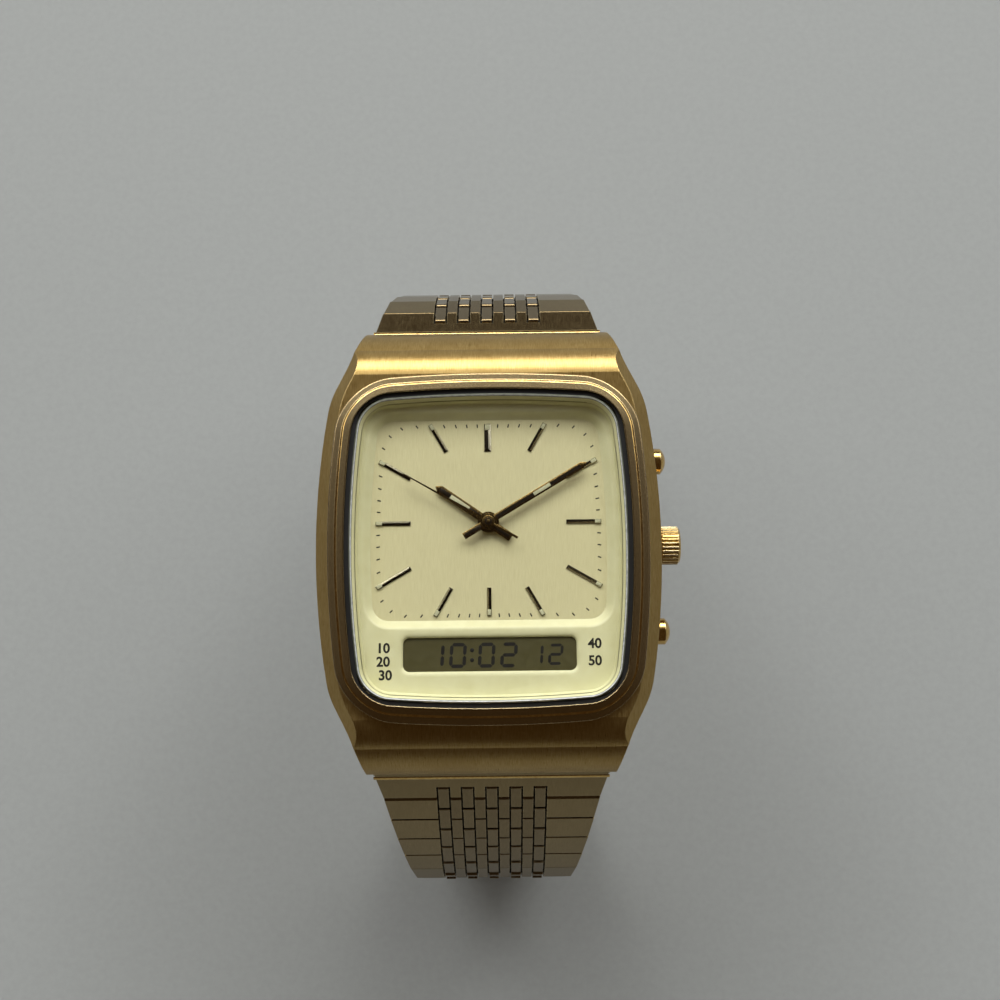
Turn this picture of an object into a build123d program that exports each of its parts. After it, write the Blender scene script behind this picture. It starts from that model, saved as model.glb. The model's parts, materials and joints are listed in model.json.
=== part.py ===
"""An ana digi wristwatch: hands over a small liquid crystal window, in a barrel case on a link bracelet.

Millimetres. +Z out of the dial, +Y to twelve o'clock, +X to three o'clock. The origin is the centre of
the case back's outer face. The bracelet is modelled closed, as it is worn.
"""
import os
from math import atan2, cos, degrees, hypot, pi, radians, sin, sqrt, tan

from build123d import *

# Case
CASE_WIDTH = 34.0
CASE_LENGTH = 44.6
SHOULDER_WIDTH = 31.3
SHOULDER_Y = 14.6
SHOULDER_ROUNDING = 9.0
NECK_WIDTH = 27.2
NECK_Y = 18.6
NECK_ROUNDING = 14.0
CASE_END_WIDTH = 24.7
CASE_BOTTOM_Z = 0.9
CASE_TOP_Z = 7.3
FLANK_TOP_Z = 5.9
FLANK_INSET = 1.3
HOOD_START_Y = 16.9
HOOD_CREASE_Y = 19.7
HOOD_CREASE_Z = 5.75
HOOD_END_Z = 2.25
HOOD_BULGE = 0.32
LUG_BOTTOM_Z = -0.35
LUG_START_Y = 18.4
LUG_CHEEK_Z_BLEND_Y = 17.2

# Openings in the case, drawn as barrels: straight-looking sides that bulge, with rounded corners
CAVITY_HALF_WIDTH = 13.05
CAVITY_HALF_LENGTH = 14.55
CAVITY_MIDDLE_Y = -0.38
BARREL_SIDE_RADIUS = 92.0
BARREL_END_RADIUS = 127.0
CAVITY_CORNER_RADIUS = 2.2

# Bezel, crystal and gasket
CRYSTAL_LIP = 0.5
GASKET_WALL = 0.45
BEZEL_FACE_WIDTH = 0.8
BEZEL_SECOND_WIDTH = 0.85
BEZEL_HEIGHT = 1.1
BEZEL_STEP_DROP = 0.22
BEZEL_OUTER_DROP = 0.5
BEZEL_GROOVE = 0.1
GASKET_FOOT = 0.2
GASKET_HEIGHT = 0.75
CRYSTAL_THICKNESS = 1.0
CRYSTAL_BEVEL = 0.3

# Dial, mask and markers
HANDS_Y = 2.12
DIAL_TOP_Z = 6.2
DIAL_THICKNESS = 0.4
DIAL_HALF_WIDTH = 12.1
DIAL_TOP_Y = 13.0
DIAL_BOTTOM_Y = -8.3
DIAL_HOLE_RADIUS = 0.8
DIAL_FOOT_RADIUS = 0.35
DIAL_FOOT_X = 9.4
DIAL_FOOT_Y = 8.6
APERTURE_HALF_WIDTH = 11.6
APERTURE_TOP_Y = 12.35
APERTURE_BOTTOM_Y = -7.45
APERTURE_CORNER_RADIUS = 1.5
MASK_CLEARANCE = 0.05
MASK_PANEL_Z = 6.8
MASK_RIM_Z = 7.46
MASK_RIM_WIDTH = 0.35
MASK_RIM_SLOPE_WIDTH = 0.5
MASK_WALL_RUN = 0.9
WINDOW_WIDTH = 16.8
WINDOW_HEIGHT = 3.25
WINDOW_Y = -10.75
WINDOW_RADIUS = 0.6
MARKER_WIDTH = 0.42
MARKER_HEIGHT = 0.22
MARKER_SIDE_MARGIN = 0.5
MARKER_OUTER_UP = 9.85
MARKER_OUTER_DOWN = 9.15
MARKER_INNER_SIDE = 7.65
MARKER_INNER_UP = 7.1
MARKER_INNER_DOWN = 6.4
MIN_SINE_SHARE = 0.1
REACH_STEPS = 4

# Liquid crystal panel
LCD_WIDTH = 19.0
LCD_HEIGHT = 4.7
LCD_THICKNESS = 1.0
LCD_TOP_Z = 6.45
LCD_Y = -10.8
CONNECTOR_LENGTH = 15.6
CONNECTOR_WIDTH = 0.8
CONNECTOR_EDGE = 0.15

# Hands
HOUR_HAND_LENGTH = 6.2
HOUR_HAND_TAIL = 2.7
HOUR_HAND_WIDTH = 0.72
HOUR_HAND_Z = 6.5
MINUTE_HAND_LENGTH = 11.2
MINUTE_HAND_TAIL = 2.8
MINUTE_HAND_WIDTH = 0.6
MINUTE_HAND_Z = 6.92
SECONDS_HAND_LENGTH = 9.6
SECONDS_HAND_TAIL = 3.3
SECONDS_HAND_WIDTH = 0.2
SECONDS_HAND_Z = 7.2
HAND_THICKNESS = 0.15
HAND_TIP = 0.35
HAND_SLOT_WIDTH = 0.26
HOUR_HUB_RADIUS = 0.95
MINUTE_HUB_RADIUS = 0.82
SECONDS_HUB_RADIUS = 0.55
HOUR_ANGLE = 55.1
MINUTE_ANGLE = -59.3
SECONDS_ANGLE = 60.0

# Movement
MAIN_PLATE_Z = 4.05
MAIN_PLATE_THICKNESS = 0.6
PLATE_CLEARANCE = 0.15
BRIDGE_Z = 2.25
BRIDGE_THICKNESS = 0.45
PILLAR_RADIUS = 0.85
RUNNING_CLEARANCE = 0.03
ARBOR_RADIUS = 0.12
SECONDS_ARBOR_RADIUS = 0.15
CENTER_ARBOR_RADIUS = 0.3
CANNON_RADIUS = 0.48
HOUR_PIPE_RADIUS = 0.72
MINUTE_POST_RADIUS = 0.25
WHEEL_THICKNESS = 0.16
PIVOT_END_PLAY = 0.05

# Wheels: teeth and module of each mesh, driver first
ROTOR_TEETH, FIFTH_TEETH, ROTOR_MODULE = 8, 48, 0.08
FIFTH_PINION_TEETH, SECONDS_TEETH, FIFTH_MODULE = 8, 40, 0.125
SECONDS_PINION_TEETH, THIRD_TEETH, SECONDS_MODULE = 8, 60, 0.09
THIRD_PINION_TEETH, CENTER_TEETH, THIRD_MODULE = 8, 64, 0.085
CANNON_TEETH, MINUTE_TEETH, CANNON_MODULE = 12, 36, 0.125
MINUTE_PINION_TEETH, HOUR_TEETH, MINUTE_MODULE = 10, 40, 0.12
ADDENDUM_SHARE = 0.55
DEDENDUM_SHARE = 0.95
TOOTH_ROOT_SHARE = 0.58
TOOTH_TIP_SHARE = 0.24
THIRD_DIRECTION = 0.0
FIFTH_DIRECTION = 180.0
ROTOR_DIRECTION = 200.0
MINUTE_DIRECTION = 120.0

# Levels of the wheels, by the underside of each toothed part
SECONDS_WHEEL_Z = 2.9
FIFTH_PINION_Z = 2.86
FIFTH_WHEEL_Z = 3.15
ROTOR_PINION_Z = 3.12
ROTOR_PINION_HEIGHT = 0.22
THIRD_WHEEL_Z = 3.42
SECONDS_PINION_Z = 3.39
SECONDS_PINION_HEIGHT = 0.22
CENTER_WHEEL_Z = 3.74
THIRD_PINION_Z = 3.68
THIRD_PINION_HEIGHT = 0.28
CANNON_GEAR_Z = 4.72
CANNON_GEAR_HEIGHT = 0.26
MINUTE_WHEEL_Z = 4.77
MINUTE_PINION_HEIGHT = 0.36
HOUR_WHEEL_Z = 5.06

# Stepping motor
ROTOR_RADIUS = 0.62
ROTOR_MAGNET_Z = 3.42
ROTOR_MAGNET_HEIGHT = 0.36
STATOR_Z = 3.4
STATOR_THICKNESS = 0.3
STATOR_HOLE_CLEARANCE = 0.2
STATOR_ARM = 1.0
STATOR_BAR_WIDTH = 2.2
COIL_X = -8.9
COIL_BOTTOM_Y = -2.6
COIL_TOP_Y = 7.6
COIL_RADIUS = 0.82
CORE_WIDTH = 1.0
CORE_THICKNESS = 0.4

# Electrics
BOARD_THICKNESS = 0.36
BOARD_HALF_WIDTH = 10.5
BOARD_TOP_Y = -4.0
BOARD_BOTTOM_Y = -13.6
BOARD_CORNER = 1.6
BATTERY_RADIUS = 4.75
BATTERY_STEP_RADIUS = 4.1
BATTERY_X = -2.5
BATTERY_Y = -8.6
BATTERY_Z = 1.6
BATTERY_HEIGHT = 1.95
BATTERY_STEP_HEIGHT = 0.35
CLAMP_THICKNESS = 0.22
CLAMP_WIDTH = 1.8
CLAMP_GAP = 0.35
CLAMP_Y = -7.2
BUZZER_RADIUS = 7.0
BUZZER_THICKNESS = 0.25

# Crown, stem and yoke
STEM_Z = 2.75
CROWN_RADIUS = 1.92
CROWN_LENGTH = 2.0
CROWN_GAP = 0.08
CROWN_FLUTES = 30
CROWN_FLUTE_RADIUS = 0.11
CROWN_CHAMFER = 0.22
CROWN_BOSS_RADIUS = 1.2
CROWN_BOSS_LENGTH = 0.06
STEM_RADIUS = 0.55
STEM_INNER_X = 9.3
STEM_IN_CROWN = 0.8
STEM_GROOVE_X = 9.85
STEM_GROOVE_WIDTH = 0.5
STEM_GROOVE_RADIUS = 0.33
CROWN_PULL = 0.9
YOKE_THICKNESS = 0.4
YOKE_WIDTH = 2.4
YOKE_BOTTOM_Z = 2.1
YOKE_TONGUE = 0.25
SEAL_WIDTH = 0.5
SEAL_HEIGHT = 0.35

# Pushers
PUSHER_Y = 8.58
PUSHER_RADIUS = 1.31
PUSHER_TOP_X = CASE_WIDTH / 2 + 0.95
PUSHER_HEAD_LENGTH = 2.3
PUSHER_DOME = 0.55
PUSHER_SHAFT_RADIUS = 0.6
PUSHER_POCKET_CLEARANCE = 0.05
PUSHER_INNER_X = 11.5
PUSHER_TRAVEL = 0.6
PUSHER_CLIP_X = 11.75
PUSHER_CLIP_THICKNESS = 0.2
PUSHER_CLIP_RADIUS = 1.0
PUSHER_CLIP_GROOVE_RADIUS = 0.4
SPRING_WIRE_RADIUS = 0.11
SPRING_RADIUS = 0.97
SPRING_TURNS = 3
SPRING_SOLID_LENGTH = 0.75

# Case back
BACK_HALF_WIDTH = 13.7
BACK_HALF_LENGTH = 15.7
BACK_CORNER_RADIUS = 1.6
BACK_EDGE = 0.3
SPIGOT_HEIGHT = 0.5
SPIGOT_WALL = 0.8
GASKET_SECTION = 0.45
BACK_SCREW_X = 12.3
BACK_SCREW_Y = 14.5
BACK_SCREW_HEAD_RADIUS = 0.8
BACK_SCREW_HEAD_HEIGHT = 0.45
BACK_SCREW_RECESS = 0.1
BACK_SCREW_RADIUS = 0.4
BACK_SCREW_LENGTH = 2.4
PLATE_SCREW_RADIUS = 0.3
PLATE_SCREW_HEAD_RADIUS = 0.6
PLATE_SCREW_HEAD_HEIGHT = 0.25
PLATE_SCREW_BITE = 0.45
SCREW_SLOT = 0.18

# Hinge of the first link in the case
LINK_PIVOT_Y = 21.0
LINK_PIVOT_Z = 0.8
BARREL_RADIUS = 1.5
BARREL_CLEARANCE = 0.1
LINK_WIDTH = 23.5
CHEEK_GAP = 0.05
SPRING_BAR_RADIUS = 0.75
SPRING_BAR_TIP_RADIUS = 0.4
SPRING_BAR_TIP = 0.5
SPRING_BAR_SHOULDER = 0.2
UPPER_OPEN_SLOPE = 25.0
LOWER_OPEN_SLOPE = 35.0

# Bracelet
ROW_PITCH = 3.8
ROW_THICKNESS = 1.7
ROW_GAP = 0.1
FIRST_ROW_WIDTH = 21.9
ROW_TAPER = 0.94
BRACELET_END_WIDTH = 16.0
BRICK_COLUMNS = 9
BRICK_WIDTH = 1.22
BRICK_SIDE_GAP = 0.05
GROOVE_WIDTH = 0.1
GROOVE_DEPTH = 0.3
UNDERCUT_ANGLE = 32.0
UNDERCUT_RISE = 0.2
BRICK_ROUNDING = 0.3
PIN_RADIUS = 0.4
PIN_RECESS = 0.15
LINK_SEAM_Y = 4.25

# Slope of each link below the dial plane at rest, and how many rows the link holds
UPPER_LINK_SLOPE = 35.0
LOWER_LINK_SLOPE = 49.0
UPPER_SLOPES = (52.0, 64.0, 70.0, 78.0, 88.0, 105.0, 130.0, 155.0)
LOWER_SLOPES = (51.0, 53.5, 57.0, 60.0, 67.0, 80.0, 95.0, 120.0, 150.0)
UPPER_SINGLE_ROWS = 5
LOWER_SINGLE_ROWS = 7
ROWS_IN_A_PAIR = 2

# Clasp
CLASP_SAGITTA = 2.2
CLASP_PLATE = 0.6
CLASP_GAP = 0.1
CLASP_BLOCK_LENGTH = 1.7
CLASP_END_GAP = 0.3
HOOK_WIDTH = 9.0
HOOK_SHARE = 0.36
HOOK_LIP = 0.13
HOOK_LIP_LENGTH = 0.5
WINDOW_SHARES = (0.14, 0.38, 0.62, 0.86)
RAIL_WIDTH = 2.2
RUNG_WIDTH = 1.6
LID_AXIS_Y = 1.9
LID_START = 3.1
LID_SKIRT = 0.45
LID_SIDE_GAP = 0.06
LID_PIN_RADIUS = 0.35
LID_EAR_RADIUS = 0.8

OVERRUN = 1.0
BIG = 80.0


def bulging_sides(inset):
    """The space between the barrel's two bulging sides, drawn in by inset."""
    half, radius = CAVITY_HALF_WIDTH - inset, BARREL_SIDE_RADIUS - inset
    return (Pos(half - radius, 0) * Circle(radius)) & (Pos(radius - half, 0) * Circle(radius))


def barrel(inset=0.0):
    """The barrel outline shared by crystal, bezel, mask and cavity, drawn in by inset."""
    half, radius = CAVITY_HALF_LENGTH - inset, BARREL_END_RADIUS - inset
    ends = (Pos(0, half - radius) * Circle(radius)) & (Pos(0, radius - half) * Circle(radius))
    shape = bulging_sides(inset) & (Pos(0, CAVITY_MIDDLE_Y) * ends)
    return fillet(shape.vertices(), CAVITY_CORNER_RADIUS - inset)


def slab(sketch, low, high):
    """A prism of the sketch between two heights."""
    return Pos(0, 0, low) * extrude(sketch, amount=high - low)


def block(x0, x1, y0, y1, z0, z1):
    """A box between two corners."""
    return Pos((x0 + x1) / 2, (y0 + y1) / 2, (z0 + z1) / 2) * Box(x1 - x0, y1 - y0, z1 - z0)


def rod(radius, x, y, low, high):
    """An upright cylinder between two heights."""
    return Pos(x, y, (low + high) / 2) * Cylinder(radius, high - low)


def bar_x(radius, start, end, y, z):
    """A cylinder along X."""
    return Pos((start + end) / 2, y, z) * Rot(0, 90, 0) * Cylinder(radius, abs(end - start))


def side_shape(face_yz, half_width):
    """A profile drawn in the YZ plane, given thickness along X to both sides."""
    return extrude(face_yz, amount=half_width, both=True)


def outline_yz(points):
    """A closed straight-sided face in the YZ plane."""
    return Plane.YZ * make_face(Polyline(*points, close=True))


# Case

def case_outline(inset=0.0):
    """Barrel sides, shoulders that turn in, and straight ends, all drawn in by inset."""
    half, shoulder = CASE_WIDTH / 2 - inset, SHOULDER_WIDTH / 2 - inset
    neck, end = NECK_WIDTH / 2 - inset, CASE_END_WIDTH / 2 - inset
    end_y = CASE_LENGTH / 2
    right = ThreePointArc((shoulder, -SHOULDER_Y), (half, 0), (shoulder, SHOULDER_Y))
    upper = Polyline((shoulder, SHOULDER_Y), (neck, NECK_Y), (end, end_y), (-end, end_y), (-neck, NECK_Y),
                     (-shoulder, SHOULDER_Y))
    left = ThreePointArc((-shoulder, SHOULDER_Y), (-half, 0), (-shoulder, -SHOULDER_Y))
    lower = Polyline((-shoulder, -SHOULDER_Y), (-neck, -NECK_Y), (-end, -end_y), (end, -end_y),
                     (neck, -NECK_Y), (shoulder, -SHOULDER_Y))
    face = make_face(right + upper + left + lower)
    corners = [v for v in face.vertices() if abs(v.Y) < end_y - RUNNING_CLEARANCE]
    face = fillet([v for v in corners if abs(v.Y) < NECK_Y - RUNNING_CLEARANCE], SHOULDER_ROUNDING)
    necks = [v for v in face.vertices() if abs(abs(v.Y) - NECK_Y) < RUNNING_CLEARANCE]
    return fillet(necks, NECK_ROUNDING)


def case_profile():
    """The case seen from the side: flat top, convex hoods with a soft crease, cheeks that reach down."""
    end_y = CASE_LENGTH / 2
    edges = []
    for s in (1, -1):
        start, tip = (s * HOOD_START_Y, CASE_TOP_Z), (s * end_y, HOOD_END_Z)
        crease = (s * HOOD_CREASE_Y, HOOD_CREASE_Z)
        edges.append(ThreePointArc(start, bulged(start, crease, HOOD_BULGE), crease))
        edges.append(ThreePointArc(crease, bulged(crease, tip, HOOD_BULGE), tip))
        edges.append(Polyline(tip, (s * end_y, LUG_BOTTOM_Z), (s * LUG_START_Y, LUG_BOTTOM_Z),
                              (s * LUG_CHEEK_Z_BLEND_Y, CASE_BOTTOM_Z)))
    edges.append(Line((HOOD_START_Y, CASE_TOP_Z), (-HOOD_START_Y, CASE_TOP_Z)))
    edges.append(Line((LUG_CHEEK_Z_BLEND_Y, CASE_BOTTOM_Z), (-LUG_CHEEK_Z_BLEND_Y, CASE_BOTTOM_Z)))
    return Plane.YZ * make_face(edges)


def bulged(a, b, out):
    """A point beside the middle of a chord, moved out from the watch's centre."""
    length = hypot(b[0] - a[0], b[1] - a[1])
    normal = ((a[1] - b[1]) / length, (b[0] - a[0]) / length)
    if normal[1] < 0:
        normal = (-normal[0], -normal[1])
    return (a[0] + b[0]) / 2 + normal[0] * out, (a[1] + b[1]) / 2 + normal[1] * out


def link_pocket(s, open_slope):
    """The hollow under a hood: room for the link's barrel and for its plate at the open limit."""
    half = LINK_WIDTH / 2 + CHEEK_GAP
    radius = BARREL_RADIUS + BARREL_CLEARANCE
    hollow = Rot(0, 90, 0) * Cylinder(radius, 2 * half)
    reach = CASE_LENGTH / 2 - LINK_PIVOT_Y + OVERRUN
    under = block(-half, half, -radius, reach, LUG_BOTTOM_Z - LINK_PIVOT_Z - OVERRUN, 0)
    plate = Rot(-open_slope, 0, 0) * block(-half, half, 0, reach + radius, 0, radius)
    return Pos(0, s * LINK_PIVOT_Y, LINK_PIVOT_Z) * Rot(0, 0, 0 if s > 0 else 180) * (hollow + under + plate)


def case_body():
    outline = case_outline()
    body = slab(outline, LUG_BOTTOM_Z, FLANK_TOP_Z)
    body += ruled(outline, FLANK_TOP_Z, case_outline(FLANK_INSET), CASE_TOP_Z)
    body = body & side_shape(case_profile(), CASE_WIDTH)
    body -= link_pocket(1, UPPER_OPEN_SLOPE)
    body -= link_pocket(-1, LOWER_OPEN_SLOPE)
    body -= slab(barrel(), LUG_BOTTOM_Z - OVERRUN, CASE_TOP_Z + OVERRUN)
    body -= slab(barrel(-GASKET_SECTION), CASE_BOTTOM_Z - OVERRUN, CASE_BOTTOM_Z + SPIGOT_HEIGHT)
    for s in (1, -1):
        tip = LINK_WIDTH / 2 + CHEEK_GAP + SPRING_BAR_TIP
        body -= bar_x(SPRING_BAR_TIP_RADIUS, -tip, tip, s * LINK_PIVOT_Y, LINK_PIVOT_Z)
        wall = CASE_WIDTH / 2 + OVERRUN
        shaft, pocket = PUSHER_SHAFT_RADIUS + RUNNING_CLEARANCE, PUSHER_RADIUS + PUSHER_POCKET_CLEARANCE
        body -= bar_x(shaft, PUSHER_INNER_X, wall, s * PUSHER_Y, STEM_Z)
        body -= bar_x(pocket, pocket_x(), wall, s * PUSHER_Y, STEM_Z)
        body -= seal_groove(PUSHER_SHAFT_RADIUS, pusher_seal_x(), s * PUSHER_Y)
        for t in (1, -1):
            body -= rod(BACK_SCREW_RADIUS, s * BACK_SCREW_X, t * BACK_SCREW_Y, 0, BACK_SCREW_LENGTH)
    body -= bar_x(STEM_RADIUS + RUNNING_CLEARANCE, STEM_INNER_X, CASE_WIDTH / 2 + OVERRUN, 0, STEM_Z)
    body -= seal_groove(STEM_RADIUS, crown_seal_x(), 0)
    return body


def crown_seal_x():
    return CASE_WIDTH / 2 - CROWN_RADIUS


def pocket_x():
    """The floor of a pusher's pocket, where the closed-up spring still leaves the travel."""
    return PUSHER_TOP_X - PUSHER_HEAD_LENGTH - PUSHER_TRAVEL - SPRING_SOLID_LENGTH


def pusher_seal_x():
    return pocket_x() - 2 * SEAL_WIDTH


def seal_groove(shaft_radius, x, y):
    """Room for a sealing ring round a shaft along X, and the ring has the same outside."""
    return bar_x(shaft_radius + RUNNING_CLEARANCE + SEAL_HEIGHT, x, x + SEAL_WIDTH, y, STEM_Z)


def seal_rings():
    """The case back gasket and one ring for the crown's stem and each pusher."""
    rings = [slab(barrel(-GASKET_SECTION) - barrel(), CASE_BOTTOM_Z, CASE_BOTTOM_Z + GASKET_SECTION)]
    for radius, x, y in ((STEM_RADIUS, crown_seal_x(), 0), (PUSHER_SHAFT_RADIUS, pusher_seal_x(), PUSHER_Y),
                         (PUSHER_SHAFT_RADIUS, pusher_seal_x(), -PUSHER_Y)):
        hole = bar_x(radius + RUNNING_CLEARANCE, x - OVERRUN, x + OVERRUN, y, STEM_Z)
        rings.append(seal_groove(radius, x, y) - hole)
    return Compound(solids_of(rings))


def solids_of(shapes):
    """Every solid of a list of shapes."""
    return [solid for shape in shapes for solid in shape.solids()]


# Bezel, crystal and gasket

def bezel_edges():
    """Insets of the bezel's rings from the cavity's outline: inner edge, step and outer edge."""
    inner = -(CRYSTAL_LIP + GASKET_WALL)
    return inner, inner - BEZEL_FACE_WIDTH, inner - BEZEL_FACE_WIDTH - BEZEL_SECOND_WIDTH


def bezel_ring():
    """A rim with a bright groove between its two sloping faces."""
    inner, step, outer = bezel_edges()
    top = CASE_TOP_Z + BEZEL_HEIGHT
    step_z, outer_z = top - BEZEL_STEP_DROP, top - BEZEL_OUTER_DROP
    ring = slab(barrel(outer), CASE_TOP_Z, outer_z)
    ring += ruled(barrel(outer), outer_z, barrel(step - BEZEL_GROOVE), step_z - BEZEL_GROOVE)
    ring += slab(barrel(step), outer_z - BEZEL_GROOVE, step_z)
    ring += ruled(barrel(step), step_z, barrel(inner), top)
    return ring - slab(barrel(inner), CASE_TOP_Z - OVERRUN, top + OVERRUN)


def ruled(low_face, low, high_face, high):
    """A solid with straight walls between two outlines at two heights."""
    return loft([Pos(0, 0, low) * low_face, Pos(0, 0, high) * high_face], ruled=True)


def crystal():
    low = CASE_TOP_Z + GASKET_FOOT
    straight = low + CRYSTAL_THICKNESS - CRYSTAL_BEVEL
    top, edge = barrel(CRYSTAL_BEVEL - CRYSTAL_LIP), barrel(-CRYSTAL_LIP)
    return slab(edge, low, straight) + ruled(edge, straight, top, low + CRYSTAL_THICKNESS)


def crystal_gasket():
    """A black ring with a foot under the glass and a wall beside it."""
    inner = bezel_edges()[0]
    ring = slab(barrel(inner), CASE_TOP_Z, CASE_TOP_Z + GASKET_HEIGHT)
    ring -= slab(barrel(), CASE_TOP_Z - OVERRUN, CASE_TOP_Z + OVERRUN)
    return ring - slab(barrel(-CRYSTAL_LIP), CASE_TOP_Z + GASKET_FOOT, CASE_TOP_Z + OVERRUN)


# Dial side

def aperture(grow=0.0):
    """The opening that shows the dial, with its sides parallel to the barrel's."""
    length = APERTURE_TOP_Y - APERTURE_BOTTOM_Y + 2 * grow
    middle = (APERTURE_TOP_Y + APERTURE_BOTTOM_Y) / 2
    sides = bulging_sides(CAVITY_HALF_WIDTH - APERTURE_HALF_WIDTH - grow)
    shape = sides & (Pos(0, middle) * Rectangle(CASE_WIDTH, length))
    return fillet(shape.vertices(), APERTURE_CORNER_RADIUS + grow)


def dial_mask():
    """Ivory surround: a raised rim under the glass, a lower panel, a sloped wall down to the dial."""
    outer = barrel(MASK_CLEARANCE)
    rim = barrel(MASK_CLEARANCE + MASK_RIM_WIDTH)
    panel = barrel(MASK_CLEARANCE + MASK_RIM_WIDTH + MASK_RIM_SLOPE_WIDTH)
    body = slab(outer, DIAL_TOP_Z, MASK_RIM_Z)
    body -= ruled(panel, MASK_PANEL_Z, rim, MASK_RIM_Z)
    body -= ruled(aperture(), DIAL_TOP_Z, aperture(MASK_WALL_RUN), MASK_PANEL_Z)
    body -= slab(aperture(MASK_WALL_RUN), MASK_PANEL_Z, MASK_RIM_Z)
    lcd_half, lcd_half_l = LCD_WIDTH / 2 + MASK_CLEARANCE, LCD_HEIGHT / 2 + MASK_CLEARANCE
    body -= block(-lcd_half, lcd_half, LCD_Y - lcd_half_l, LCD_Y + lcd_half_l, DIAL_TOP_Z - OVERRUN,
                  LCD_TOP_Z + MASK_CLEARANCE)
    window = Pos(0, WINDOW_Y) * RectangleRounded(WINDOW_WIDTH, WINDOW_HEIGHT, WINDOW_RADIUS)
    return body - slab(window, LCD_TOP_Z - OVERRUN, MASK_PANEL_Z + OVERRUN)


def dial_plate():
    """A champagne plate with two feet that stand in the main plate."""
    low = DIAL_TOP_Z - DIAL_THICKNESS
    face = barrel(CAVITY_HALF_WIDTH - DIAL_HALF_WIDTH)
    mid, length = (DIAL_TOP_Y + DIAL_BOTTOM_Y) / 2, DIAL_TOP_Y - DIAL_BOTTOM_Y
    plate = slab(face & (Pos(0, mid) * Rectangle(CASE_WIDTH, length)), low, DIAL_TOP_Z)
    plate -= rod(DIAL_HOLE_RADIUS, 0, HANDS_Y, low - OVERRUN, DIAL_TOP_Z + OVERRUN)
    for s in (1, -1):
        plate += rod(DIAL_FOOT_RADIUS, s * DIAL_FOOT_X, HANDS_Y + s * DIAL_FOOT_Y, MAIN_PLATE_Z, low)
    return plate


def aperture_half(y):
    """Half the dial opening's width at a height on the dial."""
    return APERTURE_HALF_WIDTH - BARREL_SIDE_RADIUS + sqrt(BARREL_SIDE_RADIUS ** 2 - y ** 2)


def reach_to(angle, across, along):
    """How far a ray from the hands goes before it leaves a rectangle."""
    return min(across / max(abs(sin(angle)), MIN_SINE_SHARE), along / max(abs(cos(angle)), MIN_SINE_SHARE))


def marker_ends(angle):
    """Distances from the hands to a marker's inner and outer end, which both follow the dial's shape."""
    up = cos(angle) > 0
    inner = reach_to(angle, MARKER_INNER_SIDE, MARKER_INNER_UP if up else MARKER_INNER_DOWN)
    outer = inner
    for step in range(REACH_STEPS):
        side = aperture_half(HANDS_Y + outer * cos(angle)) - MARKER_SIDE_MARGIN
        outer = reach_to(angle, side, MARKER_OUTER_UP if up else MARKER_OUTER_DOWN)
    return inner, outer


def hour_markers():
    """Twelve batons, bevelled along both edges."""
    markers = []
    for hour in range(12):
        angle = 2 * pi * hour / 12
        inner, outer = marker_ends(angle)
        bar = block(-MARKER_WIDTH / 2, MARKER_WIDTH / 2, inner, outer, 0, MARKER_HEIGHT)
        bar = chamfer(bar.faces().sort_by(Axis.Z)[-1].edges(), MARKER_HEIGHT / 3)
        markers.append(Pos(0, HANDS_Y, DIAL_TOP_Z) * Rot(0, 0, -degrees(angle)) * bar)
    return Compound(solids_of(markers))


def baton_hand(length, tail, width, low, hub, bore, angle, slotted):
    """A straight hand with a short point, a counterweight tail and a round hub."""
    half = width / 2
    shape = make_face(Polyline((-half, -tail), (half, -tail), (half, length - HAND_TIP), (0, length),
                               (-half, length - HAND_TIP), close=True))
    shape = shape + Circle(hub)
    hand = slab(shape, 0, HAND_THICKNESS)
    if slotted:
        slot_end, slot_start = length - 3 * HAND_TIP, hub + HAND_TIP
        slot = Pos(0, (slot_end + slot_start) / 2) * Rectangle(HAND_SLOT_WIDTH, slot_end - slot_start)
        hand -= slab(slot, HAND_THICKNESS / 2, HAND_THICKNESS + OVERRUN)
    if bore:
        hand -= rod(bore, 0, 0, -OVERRUN, OVERRUN)
    return Pos(0, HANDS_Y, low) * Rot(0, 0, angle) * hand


def lcd_panel():
    """Two bonded glasses, drawn as one slab with a ledge on the lower glass."""
    half_w, half_l = LCD_WIDTH / 2, LCD_HEIGHT / 2
    return block(-half_w, half_w, LCD_Y - half_l, LCD_Y + half_l, LCD_TOP_Z - LCD_THICKNESS, LCD_TOP_Z)


def connector_lines():
    """The two lines along the panel where its contacts are."""
    offset = LCD_HEIGHT / 2 - CONNECTOR_EDGE - CONNECTOR_WIDTH / 2
    return LCD_Y - offset, LCD_Y + offset


def lcd_connectors():
    """Striped rubber strips between the circuit board and the glass."""
    half, low, high = CONNECTOR_LENGTH / 2, MAIN_PLATE_Z, LCD_TOP_Z - LCD_THICKNESS
    strips = [block(-half, half, y - CONNECTOR_WIDTH / 2, y + CONNECTOR_WIDTH / 2, low, high)
              for y in connector_lines()]
    return Compound(solids_of(strips))


# Wheels

def gear(teeth, module, low, height, phase):
    """A wheel with plain short teeth, one of them pointing along phase degrees."""
    radius = teeth * module / 2
    tip, root = radius + ADDENDUM_SHARE * module, radius - DEDENDUM_SHARE * module
    pitch = 360 / teeth
    points = []
    for i in range(teeth):
        middle = phase + i * pitch
        for r, share in ((root, -TOOTH_ROOT_SHARE), (tip, -TOOTH_TIP_SHARE), (tip, TOOTH_TIP_SHARE),
                         (root, TOOTH_ROOT_SHARE)):
            a = radians(middle + share * pitch / 2)
            points.append((r * cos(a), r * sin(a)))
    return slab(make_face(Polyline(*points, close=True)), low, low + height)


def away(center, distance, direction):
    """A point at a distance from another, in a direction in degrees."""
    return center[0] + distance * cos(radians(direction)), center[1] + distance * sin(radians(direction))


def mesh_distance(teeth_a, teeth_b, module):
    return (teeth_a + teeth_b) * module / 2


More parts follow.
